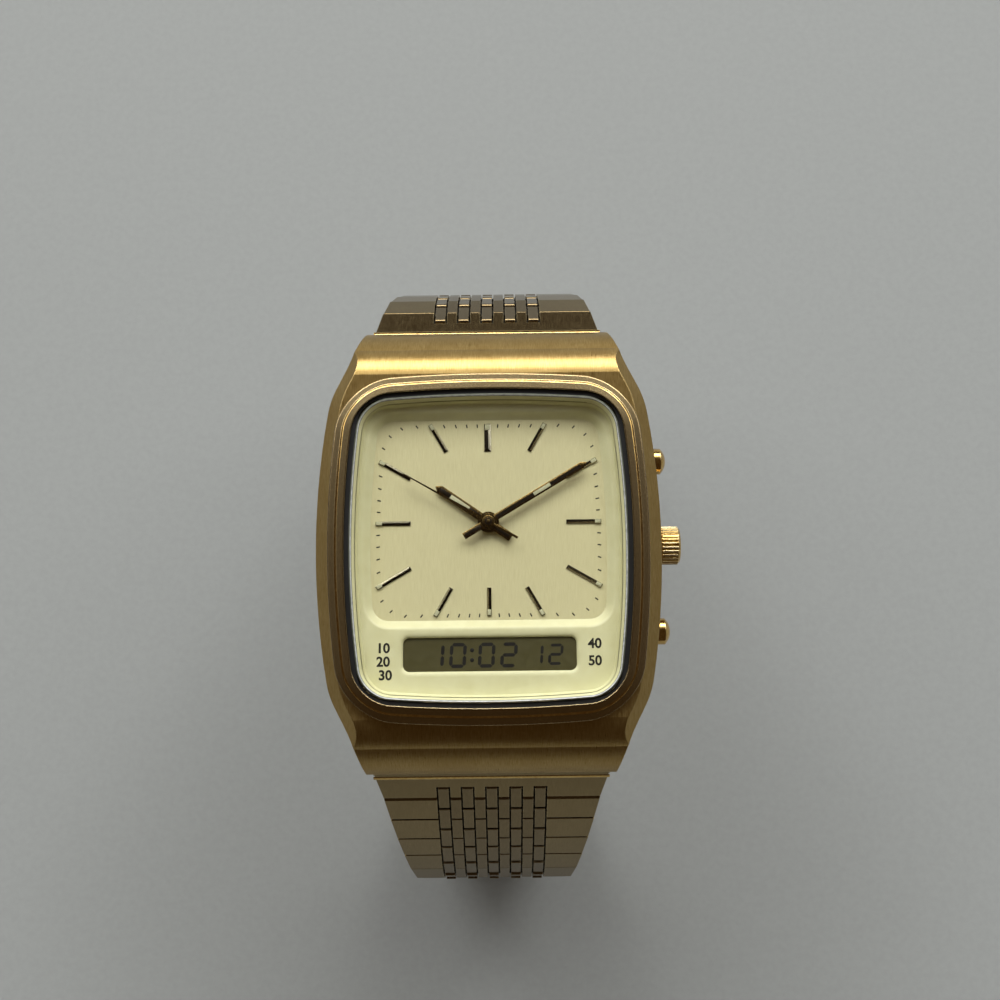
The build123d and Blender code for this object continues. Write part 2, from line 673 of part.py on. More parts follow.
HANDS = (0.0, HANDS_Y)
THIRD = away(HANDS, mesh_distance(SECONDS_PINION_TEETH, THIRD_TEETH, SECONDS_MODULE), THIRD_DIRECTION)
FIFTH = away(HANDS, mesh_distance(FIFTH_PINION_TEETH, SECONDS_TEETH, FIFTH_MODULE), FIFTH_DIRECTION)
ROTOR = away(FIFTH, mesh_distance(ROTOR_TEETH, FIFTH_TEETH, ROTOR_MODULE), ROTOR_DIRECTION)
MINUTE = away(HANDS, mesh_distance(CANNON_TEETH, MINUTE_TEETH, CANNON_MODULE), MINUTE_DIRECTION)


def gap_phase(direction, teeth):
    """The phase that puts a gap, not a tooth, towards a direction."""
    return direction + 180 / teeth


def pivot_ends():
    """Heights between which an arbor runs, from inside the bridge to inside the main plate."""
    return BRIDGE_Z + PIVOT_END_PLAY, MAIN_PLATE_Z + MAIN_PLATE_THICKNESS - PIVOT_END_PLAY


def motor_rotor():
    low, high = pivot_ends()
    pinion = gear(ROTOR_TEETH, ROTOR_MODULE, ROTOR_PINION_Z, ROTOR_PINION_HEIGHT, ROTOR_DIRECTION + 180)
    magnet = rod(ROTOR_RADIUS, 0, 0, ROTOR_MAGNET_Z, ROTOR_MAGNET_Z + ROTOR_MAGNET_HEIGHT)
    return Pos(*ROTOR, 0) * (pinion + magnet + rod(ARBOR_RADIUS, 0, 0, low, high))


def fifth_wheel():
    low, high = pivot_ends()
    wheel = gear(FIFTH_TEETH, ROTOR_MODULE, FIFTH_WHEEL_Z, WHEEL_THICKNESS,
                 gap_phase(ROTOR_DIRECTION, FIFTH_TEETH))
    pinion = gear(FIFTH_PINION_TEETH, FIFTH_MODULE, FIFTH_PINION_Z, FIFTH_WHEEL_Z - FIFTH_PINION_Z,
                  FIFTH_DIRECTION + 180)
    return Pos(*FIFTH, 0) * (wheel + pinion + rod(ARBOR_RADIUS, 0, 0, low, high))


def seconds_wheel():
    """The wheel whose long arbor carries the seconds hand through the hollow centre."""
    wheel = gear(SECONDS_TEETH, FIFTH_MODULE, SECONDS_WHEEL_Z, WHEEL_THICKNESS,
                 gap_phase(FIFTH_DIRECTION, SECONDS_TEETH))
    pinion = gear(SECONDS_PINION_TEETH, SECONDS_MODULE, SECONDS_PINION_Z, SECONDS_PINION_HEIGHT,
                  THIRD_DIRECTION)
    arbor = rod(SECONDS_ARBOR_RADIUS, 0, 0, BRIDGE_Z + PIVOT_END_PLAY, SECONDS_HAND_Z)
    return Pos(*HANDS, 0) * (wheel + pinion + arbor)


def third_wheel():
    low, high = pivot_ends()
    wheel = gear(THIRD_TEETH, SECONDS_MODULE, THIRD_WHEEL_Z, WHEEL_THICKNESS,
                 gap_phase(THIRD_DIRECTION + 180, THIRD_TEETH))
    pinion = gear(THIRD_PINION_TEETH, THIRD_MODULE, THIRD_PINION_Z, THIRD_PINION_HEIGHT,
                  THIRD_DIRECTION + 180)
    return Pos(*THIRD, 0) * (wheel + pinion + rod(ARBOR_RADIUS, 0, 0, low, high))


def center_wheel():
    """The wheel that turns once an hour, on a hollow arbor inside the cannon pinion."""
    wheel = gear(CENTER_TEETH, THIRD_MODULE, CENTER_WHEEL_Z, WHEEL_THICKNESS,
                 gap_phase(THIRD_DIRECTION, CENTER_TEETH))
    hub_low = SECONDS_PINION_Z + SECONDS_PINION_HEIGHT + PIVOT_END_PLAY
    arbor = rod(CENTER_ARBOR_RADIUS, 0, 0, hub_low, HOUR_HAND_Z)
    bore = rod(SECONDS_ARBOR_RADIUS + RUNNING_CLEARANCE, 0, 0, hub_low - OVERRUN, HOUR_HAND_Z + OVERRUN)
    return Pos(*HANDS, 0) * (wheel + arbor - bore)


def cannon_pinion():
    toothed = gear(CANNON_TEETH, CANNON_MODULE, CANNON_GEAR_Z, CANNON_GEAR_HEIGHT, MINUTE_DIRECTION)
    top = MINUTE_HAND_Z + HAND_THICKNESS
    tube = toothed + rod(CANNON_RADIUS, 0, 0, CANNON_GEAR_Z, top)
    bore = CENTER_ARBOR_RADIUS + RUNNING_CLEARANCE
    return Pos(*HANDS, 0) * (tube - rod(bore, 0, 0, CANNON_GEAR_Z - OVERRUN, top + OVERRUN))


def minute_wheel():
    wheel = gear(MINUTE_TEETH, CANNON_MODULE, MINUTE_WHEEL_Z, WHEEL_THICKNESS,
                 gap_phase(MINUTE_DIRECTION + 180, MINUTE_TEETH))
    low = MINUTE_WHEEL_Z + WHEEL_THICKNESS
    pinion = gear(MINUTE_PINION_TEETH, MINUTE_MODULE, low, MINUTE_PINION_HEIGHT, MINUTE_DIRECTION + 180)
    bore = rod(MINUTE_POST_RADIUS + RUNNING_CLEARANCE, 0, 0, MAIN_PLATE_Z, low + OVERRUN)
    return Pos(*MINUTE, 0) * (wheel + pinion - bore)


def hour_wheel():
    wheel = gear(HOUR_TEETH, MINUTE_MODULE, HOUR_WHEEL_Z, WHEEL_THICKNESS,
                 gap_phase(MINUTE_DIRECTION, HOUR_TEETH))
    top = HOUR_HAND_Z + HAND_THICKNESS
    pipe = rod(HOUR_PIPE_RADIUS, 0, 0, HOUR_WHEEL_Z, top)
    bore = rod(CANNON_RADIUS + RUNNING_CLEARANCE, 0, 0, HOUR_WHEEL_Z - OVERRUN, top + OVERRUN)
    return Pos(*HANDS, 0) * (wheel + pipe - bore)


# Movement frame

def pillar_spots():
    """Where the bridge stands on the main plate, clear of every wheel."""
    reach = mesh_distance(SECONDS_PINION_TEETH, THIRD_TEETH, SECONDS_MODULE)
    aside, offset = -reach / 2, reach + PILLAR_RADIUS
    return (THIRD[0] + offset, HANDS_Y), (aside, HANDS_Y + offset), (aside, HANDS_Y - offset)


def main_plate():
    """The base of the movement: pivot holes, connector slots, a guide for the yoke and the minute post."""
    top = MAIN_PLATE_Z + MAIN_PLATE_THICKNESS
    plate = slab(barrel(PLATE_CLEARANCE), MAIN_PLATE_Z, top)
    for spot in (THIRD, FIFTH, ROTOR):
        plate -= rod(ARBOR_RADIUS + RUNNING_CLEARANCE, *spot, MAIN_PLATE_Z - OVERRUN, top + OVERRUN)
    plate -= rod(CENTER_ARBOR_RADIUS + RUNNING_CLEARANCE, *HANDS, MAIN_PLATE_Z - OVERRUN, top + OVERRUN)
    plate += rod(MINUTE_POST_RADIUS, *MINUTE, top, MINUTE_WHEEL_Z + WHEEL_THICKNESS + MINUTE_PINION_HEIGHT)
    half, edge = CONNECTOR_LENGTH / 2, CONNECTOR_WIDTH / 2
    for y in connector_lines():
        plate -= block(-half, half, y - edge, y + edge, MAIN_PLATE_Z - OVERRUN, top + OVERRUN)
    for s in (1, -1):
        foot = (s * DIAL_FOOT_X, HANDS_Y + s * DIAL_FOOT_Y)
        plate -= rod(DIAL_FOOT_RADIUS, *foot, MAIN_PLATE_Z - OVERRUN, top + OVERRUN)
    for x, y in (*pillar_spots(), *clamp_spots()):
        plate -= rod(PLATE_SCREW_RADIUS, x, y, MAIN_PLATE_Z - OVERRUN, MAIN_PLATE_Z + PLATE_SCREW_BITE)
    guide = YOKE_WIDTH / 2 + RUNNING_CLEARANCE
    start, end = STEM_GROOVE_X - RUNNING_CLEARANCE, STEM_GROOVE_X + STEM_GROOVE_WIDTH + CROWN_PULL
    depth = YOKE_TONGUE + PIVOT_END_PLAY
    return plate - block(start, end, -guide, guide, MAIN_PLATE_Z - OVERRUN, MAIN_PLATE_Z + depth)


def train_bridge():
    """A bridge over the going train, on three pillars."""
    spots = pillar_spots()
    lobes = [Pos(x, y) * Circle(2 * PILLAR_RADIUS) for x, y in (*spots, ROTOR)]
    face = make_face(Polyline(spots[0], spots[1], ROTOR, spots[2], close=True))
    for lobe in lobes:
        face = face + lobe
    top = BRIDGE_Z + BRIDGE_THICKNESS
    bridge = slab(face, BRIDGE_Z, top)
    for x, y in spots:
        bridge += rod(PILLAR_RADIUS, x, y, BRIDGE_Z, MAIN_PLATE_Z)
        bridge -= rod(PLATE_SCREW_RADIUS, x, y, BRIDGE_Z - OVERRUN, MAIN_PLATE_Z + OVERRUN)
    for x, y in (THIRD, FIFTH, ROTOR):
        bridge -= rod(ARBOR_RADIUS + RUNNING_CLEARANCE, x, y, BRIDGE_Z - OVERRUN, top + OVERRUN)
    return bridge - rod(SECONDS_ARBOR_RADIUS + RUNNING_CLEARANCE, *HANDS, BRIDGE_Z - OVERRUN, top + OVERRUN)


def screw(x, y, head_low, head_height, head_radius, radius, high):
    """A slotted screw driven from below, its head at the bottom."""
    body = rod(head_radius, x, y, head_low, head_low + head_height) + rod(radius, x, y, head_low, high)
    slot = block(x - head_radius, x + head_radius, y - SCREW_SLOT / 2, y + SCREW_SLOT / 2, head_low - OVERRUN,
                 head_low + SCREW_SLOT)
    return body - slot


def screws():
    """Four case back screws, three for the bridge and two for the battery clamp."""
    made = []
    for s in (1, -1):
        for t in (1, -1):
            made.append(screw(s * BACK_SCREW_X, t * BACK_SCREW_Y, BACK_SCREW_RECESS, BACK_SCREW_HEAD_HEIGHT,
                              BACK_SCREW_HEAD_RADIUS, BACK_SCREW_RADIUS, BACK_SCREW_LENGTH))
    high = MAIN_PLATE_Z + PLATE_SCREW_BITE
    for spots, seat in ((pillar_spots(), BRIDGE_Z), (clamp_spots(), BATTERY_Z - CLAMP_THICKNESS)):
        for x, y in spots:
            made.append(screw(x, y, seat - PLATE_SCREW_HEAD_HEIGHT, PLATE_SCREW_HEAD_HEIGHT,
                              PLATE_SCREW_HEAD_RADIUS, PLATE_SCREW_RADIUS, high))
    return Compound(solids_of(made))


def motor_coil():
    """Copper winding on a flat core, with the stator plate that reaches round the rotor."""
    half = CORE_WIDTH / 2
    core = block(COIL_X - half, COIL_X + half, COIL_BOTTOM_Y - STATOR_ARM, COIL_TOP_Y + STATOR_ARM,
                 STATOR_Z - CORE_THICKNESS, STATOR_Z)
    center_z = STATOR_Z - CORE_THICKNESS / 2
    length = COIL_TOP_Y - COIL_BOTTOM_Y
    middle = Pos(COIL_X, COIL_BOTTOM_Y + length / 2, center_z)
    winding = middle * Rot(90, 0, 0) * Cylinder(COIL_RADIUS, length)
    winding -= core
    right = ROTOR[0] + STATOR_BAR_WIDTH / 2
    bar_left = ROTOR[0] - STATOR_BAR_WIDTH / 2
    plate = block(COIL_X - half, right, COIL_BOTTOM_Y - STATOR_ARM, COIL_TOP_Y + STATOR_ARM, STATOR_Z,
                  STATOR_Z + STATOR_THICKNESS)
    plate -= block(COIL_X - half - OVERRUN, bar_left, COIL_BOTTOM_Y - RUNNING_CLEARANCE,
                   COIL_TOP_Y + RUNNING_CLEARANCE, STATOR_Z - OVERRUN, STATOR_Z + OVERRUN)
    plate -= rod(ROTOR_RADIUS + STATOR_HOLE_CLEARANCE, *ROTOR, STATOR_Z - OVERRUN, STATOR_Z + OVERRUN)
    return Compound(solids_of([core, winding, plate]))


# Electrics

def clamp_spots():
    """The feet of the battery clamp, one each side of the cell."""
    reach = BATTERY_RADIUS + CLAMP_GAP + CLAMP_WIDTH / 2
    return (BATTERY_X - reach, CLAMP_Y), (BATTERY_X + reach, CLAMP_Y)


def board_bottom_z():
    return MAIN_PLATE_Z - BOARD_THICKNESS


def circuit_board():
    length = BOARD_TOP_Y - BOARD_BOTTOM_Y
    middle = (BOARD_TOP_Y + BOARD_BOTTOM_Y) / 2
    face = Pos(0, middle) * RectangleRounded(2 * BOARD_HALF_WIDTH, length, BOARD_CORNER)
    board = slab(face & barrel(2 * PLATE_CLEARANCE), board_bottom_z(), MAIN_PLATE_Z)
    for x, y in clamp_spots():
        board -= rod(PLATE_SCREW_RADIUS, x, y, board_bottom_z() - OVERRUN, MAIN_PLATE_Z + OVERRUN)
    return board


def battery():
    """A button cell: wide can, narrower cap towards the circuit board."""
    cap = BATTERY_Z + BATTERY_HEIGHT
    can = rod(BATTERY_RADIUS, BATTERY_X, BATTERY_Y, BATTERY_Z, cap - BATTERY_STEP_HEIGHT)
    return can + rod(BATTERY_STEP_RADIUS, BATTERY_X, BATTERY_Y, BATTERY_Z, cap)


def battery_clamp():
    """A sprung strap under the cell, standing on two feet on the circuit board."""
    spots, half = clamp_spots(), CLAMP_WIDTH / 2
    low = BATTERY_Z - CLAMP_THICKNESS
    strap = block(spots[0][0] - half, spots[1][0] + half, CLAMP_Y - half, CLAMP_Y + half, low, BATTERY_Z)
    for x, y in spots:
        strap += block(x - half, x + half, y - half, y + half, low, board_bottom_z())
        strap -= rod(PLATE_SCREW_RADIUS, x, y, low - OVERRUN, MAIN_PLATE_Z)
    return strap


def buzzer_disc():
    return rod(BUZZER_RADIUS, 0, 0, CASE_BOTTOM_Z, CASE_BOTTOM_Z + BUZZER_THICKNESS)


# Crown and pushers

def crown():
    """A fluted knob with a shallow boss on its outer end."""
    start = CASE_WIDTH / 2 + CROWN_GAP
    end = start + CROWN_LENGTH
    knob = bar_x(CROWN_RADIUS, start, end, 0, STEM_Z)
    knob = chamfer(knob.edges().filter_by(GeomType.CIRCLE), CROWN_CHAMFER)
    for i in range(CROWN_FLUTES):
        a = 2 * pi * i / CROWN_FLUTES
        knob -= bar_x(CROWN_FLUTE_RADIUS, start - OVERRUN, end - CROWN_CHAMFER, CROWN_RADIUS * cos(a),
                      STEM_Z + CROWN_RADIUS * sin(a))
    knob += bar_x(CROWN_BOSS_RADIUS, end, end + CROWN_BOSS_LENGTH, 0, STEM_Z)
    return knob - bar_x(STEM_RADIUS, start - OVERRUN, start + STEM_IN_CROWN, 0, STEM_Z)


def setting_stem():
    end = CASE_WIDTH / 2 + CROWN_GAP + STEM_IN_CROWN
    stem = bar_x(STEM_RADIUS, STEM_INNER_X, end, 0, STEM_Z)
    groove = bar_x(STEM_RADIUS + OVERRUN, STEM_GROOVE_X, STEM_GROOVE_X + STEM_GROOVE_WIDTH, 0, STEM_Z)
    groove -= bar_x(STEM_GROOVE_RADIUS, STEM_GROOVE_X - OVERRUN, STEM_GROOVE_X + OVERRUN, 0, STEM_Z)
    return stem - groove


def stem_yoke():
    """A forked plate in the stem's groove, with a tongue that slides in the main plate."""
    start = STEM_GROOVE_X + (STEM_GROOVE_WIDTH - YOKE_THICKNESS) / 2
    end, half = start + YOKE_THICKNESS, YOKE_WIDTH / 2
    yoke = block(start, end, -half, half, YOKE_BOTTOM_Z, MAIN_PLATE_Z + YOKE_TONGUE)
    fork = STEM_GROOVE_RADIUS + RUNNING_CLEARANCE
    yoke -= bar_x(fork, start - OVERRUN, end + OVERRUN, 0, STEM_Z)
    return yoke - block(start - OVERRUN, end + OVERRUN, -fork, fork, YOKE_BOTTOM_Z - OVERRUN, STEM_Z)


def pusher(s):
    """A domed button on a shaft, kept in the case by a clip inside."""
    y = s * PUSHER_Y
    head_x = PUSHER_TOP_X - PUSHER_HEAD_LENGTH
    dome_radius = (PUSHER_RADIUS ** 2 + PUSHER_DOME ** 2) / (2 * PUSHER_DOME)
    dome = Pos(PUSHER_TOP_X - dome_radius, y, STEM_Z) * Sphere(dome_radius)
    head = bar_x(PUSHER_RADIUS, head_x, PUSHER_TOP_X, y, STEM_Z) & dome
    body = head + bar_x(PUSHER_SHAFT_RADIUS, PUSHER_INNER_X, head_x, y, STEM_Z)
    clip_end = PUSHER_CLIP_X + PUSHER_CLIP_THICKNESS
    clip = bar_x(PUSHER_CLIP_RADIUS, PUSHER_CLIP_X, clip_end, y, STEM_Z)
    inside = bar_x(PUSHER_CLIP_GROOVE_RADIUS, PUSHER_CLIP_X - OVERRUN, clip_end + OVERRUN, y, STEM_Z)
    clip -= inside
    body -= clip
    return Compound(solids_of([body, clip]))


def pusher_spring(s):
    """An open coil between the pocket's floor and the underside of the head."""
    start, end = pocket_x() + SPRING_WIRE_RADIUS, PUSHER_TOP_X - PUSHER_HEAD_LENGTH - SPRING_WIRE_RADIUS
    height = end - start
    path = Helix(pitch=height / SPRING_TURNS, height=height, radius=SPRING_RADIUS)
    wire = Plane(origin=path @ 0, z_dir=path % 0) * Circle(SPRING_WIRE_RADIUS)
    return Pos(start, s * PUSHER_Y, STEM_Z) * Rot(0, 90, 0) * sweep(wire, path)


# Case back

def case_back():
    """A plate with a rim that enters the case, held by four screws."""
    face = Rectangle(2 * BACK_HALF_WIDTH, 2 * BACK_HALF_LENGTH)
    face = fillet(face.vertices(), BACK_CORNER_RADIUS)
    plate = slab(face, 0, CASE_BOTTOM_Z)
    plate = chamfer(plate.faces().sort_by(Axis.Z)[0].edges(), BACK_EDGE)
    rim = barrel(RUNNING_CLEARANCE) - barrel(RUNNING_CLEARANCE + SPIGOT_WALL)
    plate += slab(rim, CASE_BOTTOM_Z, CASE_BOTTOM_Z + SPIGOT_HEIGHT)
    head_top = BACK_SCREW_RECESS + BACK_SCREW_HEAD_HEIGHT
    for s in (1, -1):
        for t in (1, -1):
            spot = (s * BACK_SCREW_X, t * BACK_SCREW_Y)
            plate -= rod(BACK_SCREW_HEAD_RADIUS, *spot, -OVERRUN, head_top)
            plate -= rod(BACK_SCREW_RADIUS, *spot, -OVERRUN, CASE_BOTTOM_Z + OVERRUN)
    return plate


# Bracelet: each link is drawn with its hinge at the origin, its length along Y and its outside up

HALF_THICK = ROW_THICKNESS / 2
SEAM = ROW_PITCH / 4


def column_edges():
    return [(i - BRICK_COLUMNS / 2) * BRICK_WIDTH for i in range(BRICK_COLUMNS + 1)]


def finger_columns():
    """X ranges of the columns whose bricks are half a row ahead of the others."""
    edges = column_edges()
    return [(edges[i], edges[i + 1]) for i in range(0, BRICK_COLUMNS, 2)]


def plan_trapezoid(start, end, start_width, end_width, low, high):
    """A plate between two lines across the bracelet, tapering between them."""
    face = make_face(Polyline((-start_width / 2, start), (start_width / 2, start), (end_width / 2, end),
                              (-end_width / 2, end), close=True))
    return slab(face, low, high)


def finger_profile(reach):
    """Side view of a leading brick: rounded under the hinge, softly rounded over it."""
    front = SEAM - ROW_GAP
    top = HALF_THICK
    corner = BRICK_ROUNDING
    mid = -front * cos(pi / 4), -front * sin(pi / 4)
    eased = corner * (1 - cos(pi / 4))
    edges = [Line((reach, top), (corner - front, top)),
             ThreePointArc((corner - front, top), (eased - front, top - eased), (-front, top - corner)),
             Line((-front, top - corner), (-front, 0)),
             ThreePointArc((-front, 0), mid, (0, -front)),
             Polyline((0, -front), (reach, -front), (reach, top))]
    return Plane.YZ * make_face(edges)


def fingers(reach):
    """The five leading bricks with the bore for their pin."""
    made = []
    for x0, x1 in finger_columns():
        half = (x1 - x0) / 2 - BRICK_SIDE_GAP
        brick = side_shape(finger_profile(reach), half)
        made.append(Pos((x0 + x1) / 2, 0, 0) * brick)
    return made


def undercut(width):
    """The wedge that is cut from the underside of a link's start, so that the bracelet can bend."""
    depth = ROW_THICKNESS + UNDERCUT_RISE
    run = depth * tan(radians(UNDERCUT_ANGLE))
    start = SEAM + ROW_GAP / 2
    points = [(start - ROW_GAP, UNDERCUT_RISE), (start, UNDERCUT_RISE), (start + run, -ROW_THICKNESS),
              (start - ROW_GAP, -ROW_THICKNESS)]
    return side_shape(outline_yz(points), width)


def slots(end, low, high):
    """Room in the end of a link for the leading bricks of the next."""
    made = []
    for x0, x1 in finger_columns():
        made.append(block(x0, x1, end - ROW_PITCH / 2, end + OVERRUN, low - OVERRUN, high + OVERRUN))
    return made


def grooves(start, end, top):
    """Fine lines between the columns of bricks."""
    half = GROOVE_WIDTH / 2
    return [block(x - half, x + half, start - OVERRUN, end + OVERRUN, top - GROOVE_DEPTH, top + OVERRUN)
            for x in column_edges()]


def cross_lines(count, half_width, top):
    """Fine lines across a link that holds several rows: row seams at the sides, brick ends in the band."""
    made = []
    half, edges = GROOVE_WIDTH / 2, column_edges()
    for i in range(1, count):
        seam = SEAM + i * ROW_PITCH
        for x0, x1 in ((-half_width, edges[0]), (edges[-1], half_width)):
            made.append(block(x0, x1, seam - half, seam + half, top - GROOVE_DEPTH, top + OVERRUN))
        for column in range(BRICK_COLUMNS):
            y = seam - ROW_PITCH / 2 if column % 2 == 0 else seam
            made.append(block(edges[column], edges[column + 1], y - half, y + half, top - GROOVE_DEPTH,
                              top + OVERRUN))
    return made


def hinge_pin(width):
    reach = width / 2 - PIN_RECESS
    return bar_x(PIN_RADIUS, -reach, reach, 0, 0)


def bracelet_row(count, start_width, end_width):
    """Side plates and aligned bricks after the seam, leading bricks before it, and the pin."""
    start, end = SEAM + ROW_GAP / 2, SEAM + count * ROW_PITCH - ROW_GAP / 2
    seam_end = SEAM + count * ROW_PITCH
    body = plan_trapezoid(start, end, start_width, end_width, -HALF_THICK, HALF_THICK)
    body -= undercut(start_width)
    body -= slots(seam_end, -HALF_THICK, HALF_THICK)
    body += fingers(start + HALF_THICK)
    body -= grooves(-ROW_PITCH, end, HALF_THICK)
    if count > 1:
        body -= cross_lines(count, start_width / 2 + OVERRUN, HALF_THICK)
    body -= bar_x(PIN_RADIUS, -start_width, start_width, 0, 0)
    body -= bar_x(PIN_RADIUS + RUNNING_CLEARANCE, -start_width, start_width, count * ROW_PITCH, 0)
    return Compound(solids_of([body, hinge_pin(start_width)]))


def link_drop():
    """How far the end link's own hinge line to the first row lies above its pivot."""
    return BARREL_RADIUS - HALF_THICK


def end_link():
    """A barrel under the hood that runs out into the first plate of the bracelet."""
    top, low = BARREL_RADIUS, link_drop() - HALF_THICK
    end = LINK_SEAM_Y - ROW_GAP / 2
    start_half = LINK_WIDTH / 2
    body = plan_trapezoid(0, end, LINK_WIDTH, FIRST_ROW_WIDTH, low, top)
    body += bar_x(BARREL_RADIUS, -start_half, start_half, 0, 0)
    body -= slots(LINK_SEAM_Y, low, top)
    half, edges, start = GROOVE_WIDTH / 2, column_edges(), LINK_SEAM_Y - ROW_PITCH / 2
    body -= [block(x - half, x + half, start, end + OVERRUN, top - GROOVE_DEPTH, top + OVERRUN)
             for x in (edges[0], edges[-1])]
    bore, pin_bore = SPRING_BAR_RADIUS + RUNNING_CLEARANCE, PIN_RADIUS + RUNNING_CLEARANCE
    body -= bar_x(bore, -start_half - OVERRUN, start_half + OVERRUN, 0, 0)
    return body - bar_x(pin_bore, -start_half, start_half, LINK_SEAM_Y - SEAM, link_drop())


def spring_bars():
    """Two bars with thin sprung tips that stand in the case's cheeks."""
    bars = []
    for s in (1, -1):
        shoulder = LINK_WIDTH / 2 - SPRING_BAR_SHOULDER
        tip = LINK_WIDTH / 2 + CHEEK_GAP + SPRING_BAR_TIP
        y = s * LINK_PIVOT_Y
        bars.append(bar_x(SPRING_BAR_RADIUS, -shoulder, shoulder, y, LINK_PIVOT_Z)
                    + bar_x(SPRING_BAR_TIP_RADIUS, -tip, tip, y, LINK_PIVOT_Z))
    return Compound(solids_of(bars))


# Where each link lies at rest

def link_chain(link_slope, slopes, single_rows):
    """Hinge places as (outward, up), slopes and row counts of one half of the bracelet."""
    a = radians(link_slope)
    along, up = LINK_SEAM_Y - SEAM, link_drop()
    out, z = LINK_PIVOT_Y, LINK_PIVOT_Z
    links = [(out, z, link_slope, 1)]
    out, z = out + along * cos(a) + up * sin(a), z - along * sin(a) + up * cos(a)
    for i, slope in enumerate(slopes):
        count = 1 if i < single_rows else ROWS_IN_A_PAIR
        links.append((out, z, slope, count))
        b = radians(slope)
        out, z = out + count * ROW_PITCH * cos(b), z - count * ROW_PITCH * sin(b)
    return links, (out, z)


UPPER_LINKS, UPPER_END = link_chain(UPPER_LINK_SLOPE, UPPER_SLOPES, UPPER_SINGLE_ROWS)
LOWER_LINKS, LOWER_END = link_chain(LOWER_LINK_SLOPE, LOWER_SLOPES, LOWER_SINGLE_ROWS)
CLASP_LENGTH = hypot(UPPER_END[0] + LOWER_END[0], UPPER_END[1] - LOWER_END[1])
CLASP_TILT = degrees(atan2(UPPER_END[1] - LOWER_END[1], UPPER_END[0] + LOWER_END[0]))
CLASP_SLOPE = 180 + CLASP_TILT
HOOK_SLOPE = 180 - CLASP_TILT


def placed(s, out, z, slope, shape):
    """A link's shape moved to its hinge: s is 1 on the twelve o'clock side and -1 on the other."""
    return Pos(0, s * out, z) * Rot(0, 0, 0 if s > 0 else 180) * Rot(-slope, 0, 0) * shape


def row_widths(links):
    """Width of the bracelet at the start and end of each row link."""
    widths, rows = [], 0
    for link in links[1:]:
        start = max(BRACELET_END_WIDTH, FIRST_ROW_WIDTH - ROW_TAPER * rows)
        rows += link[3]
        widths.append((start, max(BRACELET_END_WIDTH, FIRST_ROW_WIDTH - ROW_TAPER * rows)))
    return widths


def bracelet_half(side, s, links):
    """The end link and rows of one half, by node name."""
    nodes = {f"end_link_{side}": placed(s, *links[0][:3], end_link())}
    for i, (link, widths) in enumerate(zip(links[1:], row_widths(links)), 1):
        out, z, slope, count = link
        nodes[f"row_{side}_{i}"] = placed(s, out, z, slope, bracelet_row(count, *widths))
    return nodes


# Clasp, drawn in the frame of a link whose far hinge is CLASP_LENGTH along Y

def clasp_height(y):
    """Height of the clasp's gentle arch above the line between its two hinges."""
    radius = (CLASP_LENGTH ** 2 / 4 + CLASP_SAGITTA ** 2) / (2 * CLASP_SAGITTA)
    return sqrt(radius ** 2 - (y - CLASP_LENGTH / 2) ** 2) - radius + CLASP_SAGITTA


def arched(start, end, low, high, half_width):
    """A curved plate along the arch between two heights from its middle line."""
    mid = (start + end) / 2
    spots = [(y, clasp_height(y)) for y in (start, mid, end)]
    upper = ThreePointArc(*[(y, z + high) for y, z in spots])
    lower = ThreePointArc(*[(y, z + low) for y, z in reversed(spots)])
    sides = [Line((end, spots[2][1] + high), (end, spots[2][1] + low)),
             Line((start, spots[0][1] + low), (start, spots[0][1] + high))]
    return side_shape(Plane.YZ * make_face([upper, sides[0], lower, sides[1]]), half_width)


def clasp_root():
    """The thick start that both clasp halves share: leading bricks, pin bore and a block after the seam."""
    start = SEAM + ROW_GAP / 2
    end = start + CLASP_BLOCK_LENGTH
    root = plan_trapezoid(start, end, BRACELET_END_WIDTH, BRACELET_END_WIDTH, -HALF_THICK, HALF_THICK)
    root -= undercut(BRACELET_END_WIDTH)
    root += fingers(start + HALF_THICK)
    return root - bar_x(PIN_RADIUS, -BRACELET_END_WIDTH, BRACELET_END_WIDTH, 0, 0)


def clasp_base():
    """A ladder frame: two rails and rungs, arched to follow the wrist."""
    half_plate = CLASP_PLATE / 2
    start, end = SEAM + CLASP_BLOCK_LENGTH, CLASP_LENGTH - SEAM - CLASP_BLOCK_LENGTH - CLASP_END_GAP
    plate = arched(start, end, -half_plate, half_plate, BRACELET_END_WIDTH / 2)
    window_half = BRACELET_END_WIDTH / 2 - RAIL_WIDTH
    stops = [start + share * (end - start) for share in WINDOW_SHARES]
    for y0, y1 in zip(stops, stops[1:]):
        plate -= block(-window_half, window_half, y0 + RUNG_WIDTH / 2, y1 - RUNG_WIDTH / 2, -BIG, BIG)
    body = clasp_root() + plate
    body -= bar_x(LID_PIN_RADIUS + RUNNING_CLEARANCE, -BRACELET_END_WIDTH, BRACELET_END_WIDTH, LID_AXIS_Y, 0)
    return Compound(solids_of([body, hinge_pin(BRACELET_END_WIDTH)]))


def clasp_hook():
    """A tongue under the frame on the wrist's side, with a low lip that catches a rung."""
    start, end = SEAM + CLASP_BLOCK_LENGTH / 2, CLASP_LENGTH * HOOK_SHARE
    high = -CLASP_PLATE / 2 - CLASP_GAP
    low, lip = high - CLASP_PLATE, high + CLASP_GAP + HOOK_LIP
    body = clasp_root() + arched(start, end, low, high, HOOK_WIDTH / 2)
    body += arched(end - HOOK_LIP_LENGTH, end, low, lip, HOOK_WIDTH / 2)
    return Compound(solids_of([body, hinge_pin(BRACELET_END_WIDTH)]))


